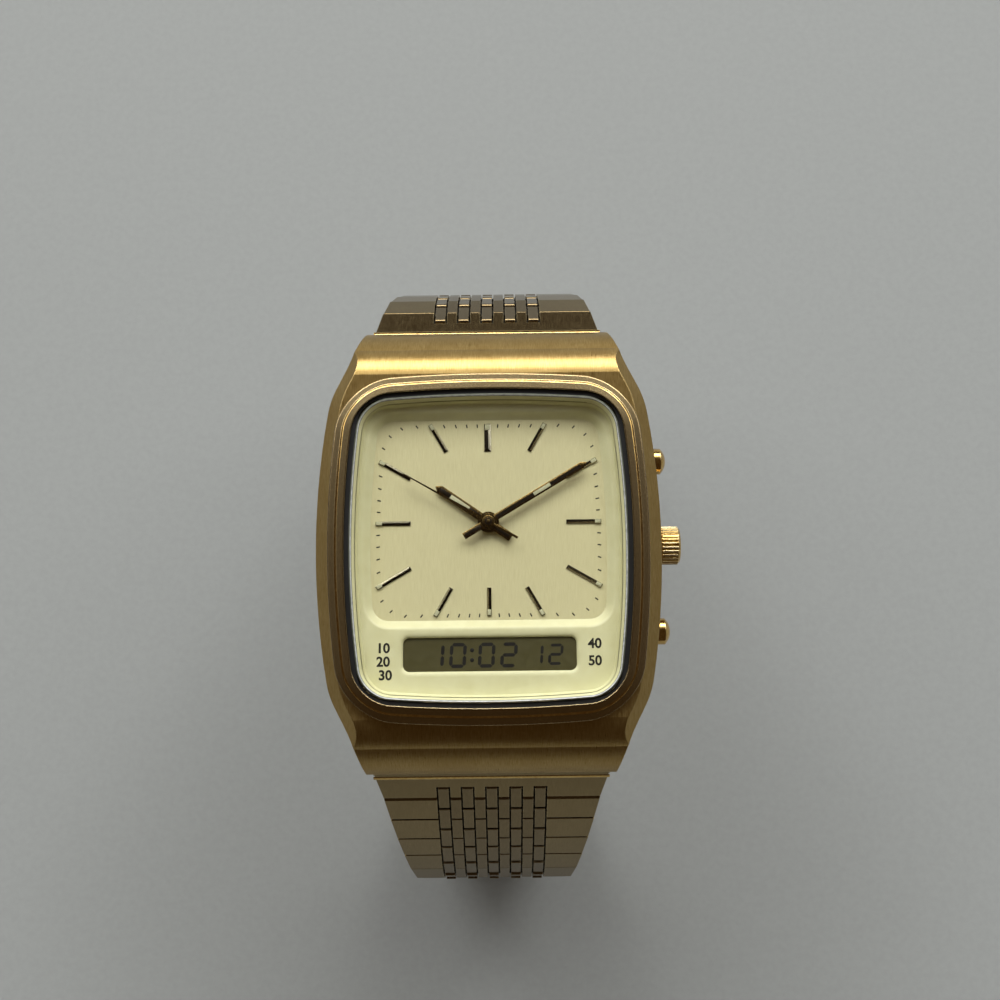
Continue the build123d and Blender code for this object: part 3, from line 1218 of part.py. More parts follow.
def clasp_lid():
    """A curved cover that turns on a pin through the frame's block and snaps over its free end."""
    half = BRACELET_END_WIDTH / 2 + LID_SIDE_GAP
    low = CLASP_PLATE / 2 + CLASP_GAP
    end = CLASP_LENGTH - SEAM - CLASP_BLOCK_LENGTH - CLASP_END_GAP
    lid = arched(LID_START, end, low, low + CLASP_PLATE, half + LID_SKIRT)
    skirts = arched(LID_START, end, -CLASP_PLATE / 2, low + CLASP_PLATE, half + LID_SKIRT)
    skirts -= arched(LID_START - OVERRUN, end + OVERRUN, -CLASP_PLATE, low, half)
    lid += skirts
    for s in (1, -1):
        inner, outer = s * half, s * (half + LID_SKIRT)
        ear = bar_x(LID_EAR_RADIUS, inner, outer, LID_AXIS_Y, 0)
        top = clasp_height(LID_START)
        arm = block(min(inner, outer), max(inner, outer), LID_AXIS_Y, LID_START + LID_EAR_RADIUS,
                    top - CLASP_PLATE / 2, top + low)
        lid += ear + arm
    reach = half + LID_SKIRT
    lid -= bar_x(LID_PIN_RADIUS, -reach - OVERRUN, reach + OVERRUN, LID_AXIS_Y, 0)
    return Compound(solids_of([lid, bar_x(LID_PIN_RADIUS, -reach, reach, LID_AXIS_Y, 0)]))


def clasp_nodes():
    base = (-1, *LOWER_END, CLASP_SLOPE)
    return {"clasp_base": placed(*base, clasp_base()), "clasp_lid": placed(*base, clasp_lid()),
            "clasp_hook": placed(1, *UPPER_END, HOOK_SLOPE, clasp_hook())}


def hand_nodes():
    hour = baton_hand(HOUR_HAND_LENGTH, HOUR_HAND_TAIL, HOUR_HAND_WIDTH, HOUR_HAND_Z, HOUR_HUB_RADIUS,
                      HOUR_PIPE_RADIUS, HOUR_ANGLE, True)
    minute = baton_hand(MINUTE_HAND_LENGTH, MINUTE_HAND_TAIL, MINUTE_HAND_WIDTH, MINUTE_HAND_Z,
                        MINUTE_HUB_RADIUS, CANNON_RADIUS, MINUTE_ANGLE, True)
    seconds = baton_hand(SECONDS_HAND_LENGTH, SECONDS_HAND_TAIL, SECONDS_HAND_WIDTH, SECONDS_HAND_Z,
                         SECONDS_HUB_RADIUS, 0, SECONDS_ANGLE, False)
    return {"hour_hand": hour, "minute_hand": minute, "seconds_hand": seconds}


def all_nodes():
    """Every sub-part by the name of its node."""
    makers = (case_body, bezel_ring, crystal, crystal_gasket, dial_mask, dial_plate, hour_markers,
              lcd_panel, lcd_connectors, main_plate, train_bridge, screws, circuit_board, battery,
              battery_clamp, motor_coil, motor_rotor, fifth_wheel, seconds_wheel, third_wheel, center_wheel,
              cannon_pinion, minute_wheel, hour_wheel, crown, setting_stem, stem_yoke, case_back, seal_rings,
              buzzer_disc, spring_bars)
    nodes = {maker.__name__: maker() for maker in makers}
    nodes.update(hand_nodes())
    for name, s in (("upper", 1), ("lower", -1)):
        nodes[f"pusher_{name}"] = pusher(s)
        nodes[f"pusher_spring_{name}"] = pusher_spring(s)
    nodes.update(bracelet_half("upper", 1, UPPER_LINKS))
    nodes.update(bracelet_half("lower", -1, LOWER_LINKS))
    nodes.update(clasp_nodes())
    return nodes


os.makedirs("parts", exist_ok=True)
for name, shape in all_nodes().items():
    export_step(shape, f"parts/{name}.step")
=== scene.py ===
# %% [markdown]
# # An analogue and digital wristwatch in gold plate
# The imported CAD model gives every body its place. This script dresses it: it keeps the solids whose
# shape is right and gives them real finishes, and builds finer pieces where the photograph shows more
# than a plain solid has, such as the bricks of the bracelet, the hands and the digits.

# %% Load the frame
import json
import math

import bmesh
import bpy
from mathutils import Matrix, Vector

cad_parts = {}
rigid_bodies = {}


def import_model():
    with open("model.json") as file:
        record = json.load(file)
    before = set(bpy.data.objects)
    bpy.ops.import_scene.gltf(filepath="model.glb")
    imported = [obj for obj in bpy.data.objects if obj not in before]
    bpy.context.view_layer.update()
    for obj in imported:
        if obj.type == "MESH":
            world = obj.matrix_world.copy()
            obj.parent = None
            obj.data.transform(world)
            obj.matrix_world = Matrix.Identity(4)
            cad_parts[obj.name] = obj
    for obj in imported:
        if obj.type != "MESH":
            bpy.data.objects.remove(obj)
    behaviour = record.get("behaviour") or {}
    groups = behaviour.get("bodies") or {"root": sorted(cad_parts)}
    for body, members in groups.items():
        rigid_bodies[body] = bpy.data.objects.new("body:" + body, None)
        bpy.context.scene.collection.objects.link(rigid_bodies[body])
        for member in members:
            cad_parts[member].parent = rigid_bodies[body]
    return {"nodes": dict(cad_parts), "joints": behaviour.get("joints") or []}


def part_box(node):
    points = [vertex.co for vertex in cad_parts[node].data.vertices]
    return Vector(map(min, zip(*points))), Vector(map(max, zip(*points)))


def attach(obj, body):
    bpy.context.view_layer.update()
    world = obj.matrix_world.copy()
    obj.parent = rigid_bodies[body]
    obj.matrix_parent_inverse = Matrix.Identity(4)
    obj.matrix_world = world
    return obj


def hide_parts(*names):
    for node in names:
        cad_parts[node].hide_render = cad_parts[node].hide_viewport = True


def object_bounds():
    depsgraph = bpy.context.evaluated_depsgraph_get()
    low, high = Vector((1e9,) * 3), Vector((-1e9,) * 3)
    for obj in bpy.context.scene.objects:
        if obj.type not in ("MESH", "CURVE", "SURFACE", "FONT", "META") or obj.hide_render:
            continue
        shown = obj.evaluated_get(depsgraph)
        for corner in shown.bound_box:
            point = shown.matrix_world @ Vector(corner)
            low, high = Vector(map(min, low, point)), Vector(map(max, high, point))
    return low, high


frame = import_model()
cad_box = [list(corner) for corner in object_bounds()]
joints = {joint["name"]: joint for joint in frame["joints"]}
MM = 0.001

# %% [markdown]
# A colour is easier to pick as an sRGB hex code, the way a paint chip is named, but shaders count light
# in linear steps. One function turns the first into the second.
# A second function adds a shader node with its settings and links in one line.

# %% Helpers for materials
def linear(code):
    shares = [int(code[i:i + 2], 16) / 255 for i in (1, 3, 5)]
    return tuple(s / 12.92 if s <= 0.04045 else ((s + 0.055) / 1.055) ** 2.4 for s in shares) + (1.0,)


def add(tree, kind, inputs=None, **settings):
    node = tree.nodes.new("ShaderNode" + kind)
    for name, value in settings.items():
        setattr(node, name, value)
    for name, value in (inputs or {}).items():
        if isinstance(value, bpy.types.NodeSocket):
            tree.links.new(value, node.inputs[name])
        else:
            node.inputs[name].default_value = value
    return node


def started(name):
    """A new material with an output and the object's own coordinates, in metres."""
    material = bpy.data.materials.new(name)
    material.use_nodes = True
    tree = material.node_tree
    tree.nodes.clear()
    output = add(tree, "OutputMaterial")
    place = add(tree, "TexCoord").outputs["Object"]
    return material, tree, output, place


def per_mm(x, y, z):
    """Mapping scale for a pattern whose cells are this many millimetres along each axis."""
    return [1000 / x, 1000 / y, 1000 / z]


print("mid grey in linear light is", round(linear("#808080")[0], 3))

# %% [markdown]
# Gold plating on brass. The plating is thin and hard, and it takes its texture from the metal below it,
# which was brushed with an abrasive belt before plating. The grain is a noise stretched along the
# brushing, so a lamp's reflection smears across it. A belt's real lines are 0.02 to 0.03 mm wide, too
# fine to show here, so they are drawn 0.07 to 0.1 mm wide. Years of wear leave cloudy patches a few
# millimetres across and rub the edges smoother. The edges are also painted paler, partly for that wear and
# partly as a painted highlight, and the Bevel node finds them by how much a rounded normal differs from
# the true one. The bezel also has pale specks where its plating is worn.
# The bracelet is greyer and finer than the case, and its bricks a little darker than its side plates.

# %% Gold plate finish
EDGE_BEVEL_RADIUS = 0.12 * MM
CLOUD_MM = 2.6
SPECK_MM = 0.16
WEAR_AND_HIGHLIGHT_SHARE, WORN_ROUGHNESS = 0.7, 0.22


def gold_plate(name, bright, deep, edge, grain_mm, rough, relief, speck=0.0):
    material, tree, output, place = started(name)
    stretched = add(tree, "Mapping", {"Vector": place, "Scale": per_mm(*grain_mm)})
    lines = add(tree, "TexNoise", {"Vector": stretched.outputs[0], "Scale": 1.0, "Detail": 3.0, "Roughness": 0.65})
    cloudy = add(tree, "Mapping", {"Vector": place, "Scale": per_mm(CLOUD_MM, CLOUD_MM, CLOUD_MM)})
    clouds = add(tree, "TexNoise", {"Vector": cloudy.outputs[0], "Scale": 1.0, "Detail": 4.0})
    fine = add(tree, "Mapping", {"Vector": place, "Scale": per_mm(SPECK_MM, SPECK_MM, SPECK_MM)})
    specks = add(tree, "TexNoise", {"Vector": fine.outputs[0], "Scale": 1.0, "Detail": 2.0})
    share = add(tree, "MapRange", {"Value": lines.outputs[0], "From Min": 0.35, "From Max": 0.65})
    tone = add(tree, "Mix", {0: share.outputs[0], 6: linear(deep), 7: linear(bright)}, data_type="RGBA")
    dull = add(tree, "MapRange", {"Value": clouds.outputs[0], "From Min": 0.4, "From Max": 0.7,
                                  "To Min": 0.0, "To Max": 0.45})
    cloud_tone = add(tree, "Mix", {0: dull.outputs[0], 6: tone.outputs[2], 7: linear(deep)}, data_type="RGBA")
    spotted = add(tree, "MapRange", {"Value": specks.outputs[0], "From Min": 0.56, "From Max": 0.7,
                                     "To Min": 0.0, "To Max": speck})
    speck_tone = add(tree, "Mix", {0: spotted.outputs[0], 6: cloud_tone.outputs[2], 7: linear(edge)},
                     data_type="RGBA")
    rounded = add(tree, "Bevel", {"Radius": EDGE_BEVEL_RADIUS}, samples=6)
    true = add(tree, "NewGeometry")
    turned = add(tree, "VectorMath", {0: rounded.outputs[0], 1: true.outputs["Normal"]}, operation="DOT_PRODUCT")
    # Edges are painted paler here: partly wear, partly a painted highlight along them.
    wear_and_highlight = add(tree, "MapRange", {"Value": turned.outputs["Value"], "From Min": 0.99, "From Max": 0.9,
                                    "To Min": 0.0, "To Max": WEAR_AND_HIGHLIGHT_SHARE})
    colour = add(tree, "Mix", {0: wear_and_highlight.outputs[0], 6: speck_tone.outputs[2], 7: linear(edge)}, data_type="RGBA")
    matt = add(tree, "MapRange", {"Value": lines.outputs[0], "From Min": 0.3, "From Max": 0.7,
                                  "To Min": rough * 0.8, "To Max": rough * 1.25})
    smooth = add(tree, "Mix", {0: wear_and_highlight.outputs[0], 2: matt.outputs[0], 3: WORN_ROUGHNESS})
    bumped = add(tree, "Bump", {"Height": lines.outputs[0], "Distance": relief * MM, "Strength": 0.6,
                                "Normal": rounded.outputs[0]})
    shader = add(tree, "BsdfPrincipled", {"Base Color": colour.outputs[2], "Metallic": 1.0,
                                          "Roughness": smooth.outputs[0], "Normal": bumped.outputs[0]})
    tree.links.new(shader.outputs[0], output.inputs["Surface"])
    return material


case_gold = gold_plate("brushed gold plate, case", "#b99e66", "#a3854c", "#e8cf96", (0.07, 0.9, 0.9), 0.34, 0.005)
bezel_gold = gold_plate("worn gold plate, bezel", "#b19b71", "#a38d66", "#efe0ba", (0.1, 0.3, 0.3), 0.16, 0.002,
                        speck=0.12)
link_gold = gold_plate("satin gold plate, bracelet", "#94825e", "#857351", "#e6d3a4", (0.08, 1.0, 1.0), 0.19, 0.003)
brick_gold = gold_plate("fine satin gold plate, bricks", "#8a795a", "#77674b", "#dcc89a", (0.07, 0.7, 0.7), 0.2,
                        0.003)
polished_gold = gold_plate("polished gold plate", "#e8c982", "#c39a55", "#fff0c0", (0.3, 0.3, 0.3), 0.16, 0.004)
print("gold finishes:", [m.name for m in bpy.data.materials])

# %% [markdown]
# The other finishes are simpler. Each one starts from its real stuff: a roughness that such a material
# usually has, and two close tones that a noise mixes at its real size. Turned steel, brass and wire have
# fine lines drawn as coarse as they need to show, and rubber and board have an even, matt grain.

# %% Steel, brass, copper and plastic
def grained(name, pale, dark, grain_mm, rough, metallic=1.0, relief=0.002, coat=0.0):
    material, tree, output, place = started(name)
    scaled = add(tree, "Mapping", {"Vector": place, "Scale": per_mm(*grain_mm)})
    noise = add(tree, "TexNoise", {"Vector": scaled.outputs[0], "Scale": 1.0, "Detail": 3.0, "Roughness": 0.6})
    share = add(tree, "MapRange", {"Value": noise.outputs[0], "From Min": 0.32, "From Max": 0.68})
    tone = add(tree, "Mix", {0: share.outputs[0], 6: linear(dark), 7: linear(pale)}, data_type="RGBA")
    matt = add(tree, "MapRange", {"Value": noise.outputs[0], "From Min": 0.3, "From Max": 0.7,
                                  "To Min": rough * 0.85, "To Max": rough * 1.2})
    bumped = add(tree, "Bump", {"Height": noise.outputs[0], "Distance": relief * MM, "Strength": 0.5})
    shader = add(tree, "BsdfPrincipled", {"Base Color": tone.outputs[2], "Metallic": metallic,
                                          "Roughness": matt.outputs[0], "Normal": bumped.outputs[0],
                                          "Coat Weight": coat})
    tree.links.new(shader.outputs[0], output.inputs["Surface"])
    return material


back_steel = grained("brushed steel", "#c9c8c4", "#9a9995", (0.08, 3.0, 3.0), 0.34, relief=0.006)
small_steel = grained("turned steel", "#c2c2c0", "#8f8f8d", (0.1, 0.1, 0.4), 0.26, relief=0.003)
rubber = grained("black nitrile rubber", "#0c0b0b", "#060505", (0.2, 0.2, 0.2), 0.5, metallic=0.0, relief=0.01)
brass = grained("grained brass", "#d2ae66", "#a5854a", (0.06, 0.6, 0.6), 0.32, relief=0.004)
copper = grained("enamelled copper wire", "#b4653a", "#7f3f20", (0.4, 0.08, 0.4), 0.3, relief=0.02)
cell_steel = grained("nickel plated cell", "#d4d2cc", "#aaa8a2", (0.3, 0.3, 0.3), 0.2)
board = grained("solder resist on glass epoxy", "#1c5a33", "#0f3d20", (0.5, 0.5, 0.5), 0.4, metallic=0.0, coat=0.3)
striped_rubber = grained("striped contact rubber", "#d08a9a", "#3b2a2e", (0.12, 4.0, 4.0), 0.6, metallic=0.0)
print(len(bpy.data.materials), "materials so far")

# %% [markdown]
# The dial is a brass plate with a champagne lacquer over fine upright brushing, so the lines run along
# Y and are about 0.1 mm apart. The mask round it is plastic with an ivory coating, whose satin surface
# shades softly from light to dark. The display glass is a dull olive, and its segments are near black.
# Markers and hands are plated brass with facets, and their paint was white once and has aged to cream.
# On the crystal's ground edge, light and shade are painted: a pale surface stands for its highlight and a grey one
# for the shade beside it, and both are matt and mirror little.

# %% Dial, mask and lacquer
dial_finish = grained("champagne lacquer on brushed brass", "#dcd6a9", "#d3cc9f", (0.09, 1.2, 1.2), 0.42,
                      metallic=0.0, relief=0.002)
mask_finish = grained("ivory satin coating", "#e1dfb4", "#dbd8aa", (1.4, 1.4, 1.4), 0.42, metallic=0.0,
                      relief=0.004, coat=0.1)
lcd_finish = grained("olive display glass", "#4c4828", "#474324", (0.8, 0.8, 0.8), 0.45, metallic=0.0)
digit_black = grained("liquid crystal segment", "#0e0d09", "#080705", (0.4, 0.4, 0.4), 0.5, metallic=0.0)
print_black = grained("printed black ink", "#1d1b15", "#121009", (0.2, 0.2, 0.2), 0.5, metallic=0.0, relief=0.004)
lume = grained("aged luminous paint", "#c9c8a6", "#b3b28e", (0.15, 0.15, 0.15), 0.7, metallic=0.0, relief=0.015)
marker_dark = grained("dark nickel marker", "#4a4338", "#2c2720", (0.1, 0.1, 0.5), 0.18)
# A near-white copy of the marker metal, painted on one facet as its highlight.
marker_facet_highlight = grained("marker facet with painted highlight", "#f2ecd8", "#d9d0b4", (0.1, 0.1, 0.5), 0.2)
hand_gold = grained("dark gilt hand", "#8d7648", "#63502e", (0.08, 0.4, 0.4), 0.24, relief=0.003)
hand_dark = grained("dark oxide facet", "#2e2419", "#1a130c", (0.08, 0.4, 0.4), 0.35, metallic=0.6)
# The pale one is a painted highlight for the crystal's edge, the grey one painted shade beside it.
edge_highlight_paint = grained("painted highlight on the glass edge", "#d5d8d8", "#a9acac", (0.4, 0.4, 0.4), 0.35, metallic=0.0)
shaded_edge = grained("painted shade on the glass edge", "#6a6d5f", "#565a4e", (0.4, 0.4, 0.4), 0.5, metallic=0.0)
print("dial finishes made")

# %% [markdown]
# The crystal is mineral glass. It mirrors a few hundredths of the light and lets the rest through, lamps
# included, so it is a clear shader mixed with a mirror by the Fresnel law for an index of 1.5. Seen from
# inside, that law would turn light back that a real, bending ray gets through, so only the outside mirrors.

# %% Crystal glass
crystal_glass, tree, output, place = started("mineral glass")
clear = add(tree, "BsdfTransparent", {"Color": linear("#fdfdfc")})
mirror = add(tree, "BsdfGlossy", {"Color": linear("#ffffff"), "Roughness": 0.03})
edge_on = add(tree, "Fresnel", {"IOR": 1.5})
side = add(tree, "NewGeometry")
front = add(tree, "Math", {0: 1.0, 1: side.outputs["Backfacing"]}, operation="SUBTRACT")
mirrored = add(tree, "Math", {0: edge_on.outputs[0], 1: front.outputs[0]}, operation="MULTIPLY")
glass = add(tree, "MixShader", {0: mirrored.outputs[0], 1: clear.outputs[0], 2: mirror.outputs[0]})
tree.links.new(glass.outputs[0], output.inputs["Surface"])
print("crystal:", crystal_glass.name)

# %% [markdown]
# Many CAD solids already have the right shape, and only need their finish. The dictionary says which
# finish each one wears, in the record's own groups.

# %% Finishes for the solids that stay
wears = {
    back_steel: ["case_back"],
    small_steel: ["screws", "battery_clamp", "setting_stem", "stem_yoke", "spring_bars", "pusher_spring_upper",
                  "pusher_spring_lower", "seconds_wheel", "cannon_pinion", "motor_rotor"],
    rubber: ["crystal_gasket", "seal_rings"],
    brass: ["main_plate", "train_bridge", "buzzer_disc", "fifth_wheel", "third_wheel", "center_wheel",
            "minute_wheel", "hour_wheel"],
    copper: ["motor_coil"],
    cell_steel: ["battery"],
    board: ["circuit_board"],
    striped_rubber: ["lcd_connectors"],
    dial_finish: ["dial_plate"],
    lcd_finish: ["lcd_panel"],
    crystal_glass: ["crystal"],
    polished_gold: ["crown", "pusher_upper", "pusher_lower"],
    link_gold: ["clasp_base", "clasp_hook"],
    case_gold: ["clasp_lid", "case_body"],
}
for finish, names in wears.items():
    for name in names:
        node = frame["nodes"][name]
        node.data.materials.clear()
        node.data.materials.append(finish)
print("dressed", sum(len(names) for names in wears.values()), "solids")

# %% [markdown]
# New pieces are modelled in millimetres with bmesh operators, then brought to metres. One function does
# what every piece needs at its end: normals outward, smooth faces with sharp edges kept, its finishes,
# the body it rides on, and the solids that it stands for. A Weighted Normal modifier
# lets the large faces rule at a bevel, so a flat face mirrors like a flat one right up to its rounded edge.

# %% Finish a piece
SHARP_ANGLE = math.radians(32)


def finish_piece(name, bm, finishes, body, stands_for=()):
    bmesh.ops.remove_doubles(bm, verts=bm.verts, dist=1e-4)
    bmesh.ops.recalc_face_normals(bm, faces=bm.faces)
    bmesh.ops.scale(bm, verts=bm.verts, vec=(MM, MM, MM))
    mesh = bpy.data.meshes.new(name)
    bm.to_mesh(mesh)
    bm.free()
    for finish in finishes:
        mesh.materials.append(finish)
    mesh.shade_smooth()
    mesh.set_sharp_from_angle(angle=SHARP_ANGLE)
    piece = bpy.data.objects.new(name, mesh)
    bpy.context.scene.collection.objects.link(piece)
    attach(piece, body)
    weighted = piece.modifiers.new("flat faces stay flat", "WEIGHTED_NORMAL")
    weighted.keep_sharp = True
    if stands_for:
        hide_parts(*stands_for)
    print(name, len(mesh.polygons), "faces")


# %% [markdown]
# The crystal, bezel, gasket and mask all follow one barrel shape: two long arcs for the sides, two
# flatter ones for the ends, and round corners. Offsets of that shape are needed at many widths, so a
# function says how far a point lies outside it, and another walks round it and finds the offset line.

# %% The barrel line
SIDE_RADIUS = 92.0
BARREL = {"half_width": 13.05, "half_length": 14.55, "corner": 2.2, "middle": -0.38, "end_radius": 127.0}
ROUND_STEPS = 240


def outside(x, y, shape):
    side = math.hypot(abs(x) + SIDE_RADIUS - shape["half_width"], y) - SIDE_RADIUS
    radius = shape["end_radius"]
    end = math.hypot(x, abs(y - shape["middle"]) + radius - shape["half_length"]) - radius
    side, end = side + shape["corner"], end + shape["corner"]
    return math.hypot(max(side, 0), max(end, 0)) + min(max(side, end), 0) - shape["corner"]


def line_at(gap, shape, z):
    """Points round the shape, gap millimetres outside it."""
    points = []
    for step in range(ROUND_STEPS):
        angle = 2 * math.pi * step / ROUND_STEPS
        low, high = 0.0, 40.0
        while high - low > 1e-5:
            reach = (low + high) / 2
            x, y = reach * math.sin(angle), shape["middle"] + reach * math.cos(angle)
            low, high = (reach, high) if outside(x, y, shape) < gap else (low, reach)
        points.append(Vector((x, y, z)))
    return points


def loop(bm, points):
    verts = [bm.verts.new(p) for p in points]
    return [bm.edges.new((a, b)) for a, b in zip(verts, verts[1:] + verts[:1])]


def lofted(bm, loops, finishes):
    """Joins neighbouring loops with faces, and gives each strip its finish."""
    for before, after, finish in zip(loops, loops[1:], finishes):
        made = bmesh.ops.bridge_loops(bm, edges=before + after)
        for face in made["faces"]:
            face.material_index = finish


print("barrel corner reach", round(max(p.length for p in line_at(0, BARREL, 0)), 2), "mm")

# %% [markdown]
# The bezel has two gently sloping faces. Where they meet, a narrow step was cut with a diamond tool after
# plating, and it shines brighter than all the rest where it faces the light. The ring is lofted through
# its profile: up the inner wall, out over the inner face, down the bright step, over the outer face, and
# down the outer wall. Each entry gives its distance outside the barrel line, its height, and the finish
# of the strip that follows.

# %% Bezel
BEZEL_PROFILE = [(0.95, 7.3, 0), (0.95, 8.33, 0), (0.97, 8.38, 0), (1.02, 8.4, 0), (1.06, 8.393, 0),
                 (1.64, 8.297, 0), (1.68, 8.29, 1), (1.77, 8.25, 1), (1.86, 8.165, 1), (1.9, 8.13, 0),
                 (1.94, 8.123, 0), (2.46, 8.037, 0), (2.5, 8.03, 0), (2.56, 7.99, 0), (2.6, 7.92, 0),
                 (2.6, 7.32, 0), (2.5, 7.3, 0)]
bm = bmesh.new()
rings = [loop(bm, line_at(gap, BARREL, z)) for gap, z, finish in BEZEL_PROFILE]
lofted(bm, rings + rings[:1], [finish for gap, z, finish in BEZEL_PROFILE])
finish_piece("bezel", bm, [bezel_gold, polished_gold], "head", ["bezel_ring"])

# %% [markdown]
# The light that the ground edge of the crystal catches is painted as one thin silver line inside the black
# gasket, with a thin line of painted shade within it. Below that, its sloped side takes the ivory of the mask
# under it, so it is dark where it faces away from the lamp and pale where it faces it. A ring in the glass draws
# all three.

# %% Painted highlight and shade on the crystal's edge
# Finish 0 is the painted highlight, 1 the painted shade, 2 the mask's ivory.
EDGE_BAND = [(0.49, 8.17, 1), (0.48, 8.21, 1), (0.36, 8.3, 0), (0.25, 8.24, 1), (0.21, 8.2, 2), (0.0, 7.46, 2),
             (-0.02, 7.44, 1), (0.1, 7.44, 1)]
bm = bmesh.new()
rings = [loop(bm, line_at(gap, BARREL, z)) for gap, z, finish in EDGE_BAND]
lofted(bm, rings + rings[:1], [finish for gap, z, finish in EDGE_BAND])
finish_piece("crystal_edge", bm, [edge_highlight_paint, shaded_edge, mask_finish], "head")

# %% [markdown]
# The mask frames the dial above and the display below. Its profile is soft: a narrow rim under the
# glass, a slope down to the panel, and a coved wall down to the dial. The window's lip rolls over in the
# same way. Loops are lofted along each profile, and the panel between them is filled as one flat face.

# %% Mask round the dial
PANEL_Z, DIAL_Z, WINDOW_FLOOR = 6.8, 6.2, 6.46
APERTURE = {"half_width": 11.6, "half_length": 9.9, "corner": 1.5, "middle": 2.45, "end_radius": 4000.0}
RIM_PROFILE = [(-0.05, DIAL_Z), (-0.05, 7.4), (-0.07, 7.42), (-0.09, 7.38), (-0.16, 7.05), (-0.22, 6.9),
               (-0.3, 6.82), (-0.42, PANEL_Z)]
WALL_PROFILE = [(0.95, PANEL_Z), (0.82, 6.785), (0.7, 6.74), (0.58, 6.65), (0.36, 6.46), (0.12, 6.27),
                (0.0, DIAL_Z)]
WINDOW_PROFILE = [(0.55, PANEL_Z), (0.38, 6.79), (0.2, 6.75), (0.07, 6.67), (0.0, 6.56), (0.0, WINDOW_FLOOR)]
WINDOW = {"half_width": 8.4, "half_length": 1.625, "corner": 0.62, "middle": -10.75}


def rounded_box(gap, z, shape, corner_steps=10):
    """A rectangle with round corners, grown by a gap."""
    radius = shape["corner"] + gap
    across, along = shape["half_width"] + gap - radius, shape["half_length"] + gap - radius
    points = []
    for quarter, (sx, sy) in enumerate(((1, 1), (-1, 1), (-1, -1), (1, -1))):
        for step in range(corner_steps + 1):
            a = math.pi / 2 * (quarter + step / corner_steps)
            points.append(Vector((sx * across + radius * math.cos(a),
                                  shape["middle"] + sy * along + radius * math.sin(a), z)))
    return points


bm = bmesh.new()
rim = [loop(bm, line_at(gap, BARREL, z)) for gap, z in RIM_PROFILE]
wall = [loop(bm, line_at(gap, APERTURE, z)) for gap, z in WALL_PROFILE]
window = [loop(bm, rounded_box(gap, z, WINDOW)) for gap, z in WINDOW_PROFILE]
for loops in (rim, wall, window):
    lofted(bm, loops, [0] * len(loops))
bmesh.ops.triangle_fill(bm, edges=rim[-1] + wall[0] + window[0], use_beauty=True)
bmesh.ops.triangle_fill(bm, edges=rim[0] + wall[-1], use_beauty=True)
finish_piece("dial_surround", bm, [mask_finish], "head", ["dial_mask"])

# %% [markdown]
# The hour markers point at the hands, but reach to the edge of the opening, which is not round: its
# sides are long arcs and its ends are straight. So each marker's outer end is found in a few steps.

# %% Where the dial's marks stand
HANDS = Vector((0.0, 2.12, 0.0))
OUTER_UP, OUTER_DOWN, SIDE_MARGIN = 9.85, 9.15, 0.5
INNER_SIDE, INNER_UP, INNER_DOWN = 7.65, 7.1, 6.4


def reach_to(angle, across, along):
    return min(across / max(abs(math.sin(angle)), 0.1), along / max(abs(math.cos(angle)), 0.1))


def marker_ends(angle):
    up = math.cos(angle) > 0
    inner = outer = reach_to(angle, INNER_SIDE, INNER_UP if up else INNER_DOWN)
    for step in range(4):
        y = HANDS.y + outer * math.cos(angle)
        side = APERTURE["half_width"] - SIDE_RADIUS + math.sqrt(SIDE_RADIUS ** 2 - y ** 2) - SIDE_MARGIN
        outer = reach_to(angle, side, OUTER_UP if up else OUTER_DOWN)
    return inner, outer


def turned_to(angle, z):
    """From a piece drawn along +Y to its place on the dial, angle clockwise from twelve."""
    return Matrix.Translation(HANDS + Vector((0, 0, z))) @ Matrix.Rotation(-angle, 4, "Z")


print("marker at two runs from and to", [round(end, 2) for end in marker_ends(math.pi / 3)])

# %% [markdown]
# Most small parts here start as a box with soft edges, so that is one function. It can be told to take
# another finish, and gives back its vertices, so that a caller can shape the box further.

# %% A box with soft edges
def soft_box(bm, low, high, round_by=0.0, finish=0, place=None, segments=2):
    made = bmesh.ops.create_cube(bm, size=1.0)["verts"]
    low, high = Vector(low), Vector(high)
    bmesh.ops.scale(bm, verts=made, vec=high - low)
    bmesh.ops.translate(bm, verts=made, vec=(low + high) / 2)
    faces = list({face for vert in made for face in vert.link_faces})
    for face in faces:
        face.material_index = finish
    if round_by:
        edges = list({edge for vert in made for edge in vert.link_edges})
        made = list(set(made) | set(bmesh.ops.bevel(
            bm, geom=edges, offset=round_by, offset_type="OFFSET", affect="EDGES", segments=segments,
            profile=0.5, material=-1, clamp_overlap=True)["verts"]))
        made = [vert for vert in made if vert.is_valid]
    if place is not None:
        bmesh.ops.transform(bm, matrix=place, verts=made)
    return made


print("boxes are ready")

# %% [markdown]
# The hour markers are batons cut from dark nickelled brass. Their tops are roofs, and one long facet of
# each wears a near-white copy of the metal as a painted highlight. A square of luminous paint sits in the outer end
# of each.

# %% Hour markers
MARKER_HALF, TWELVE_HALF, MARKER_TOP, LUME_LENGTH = 0.21, 0.32, 0.22, 0.62


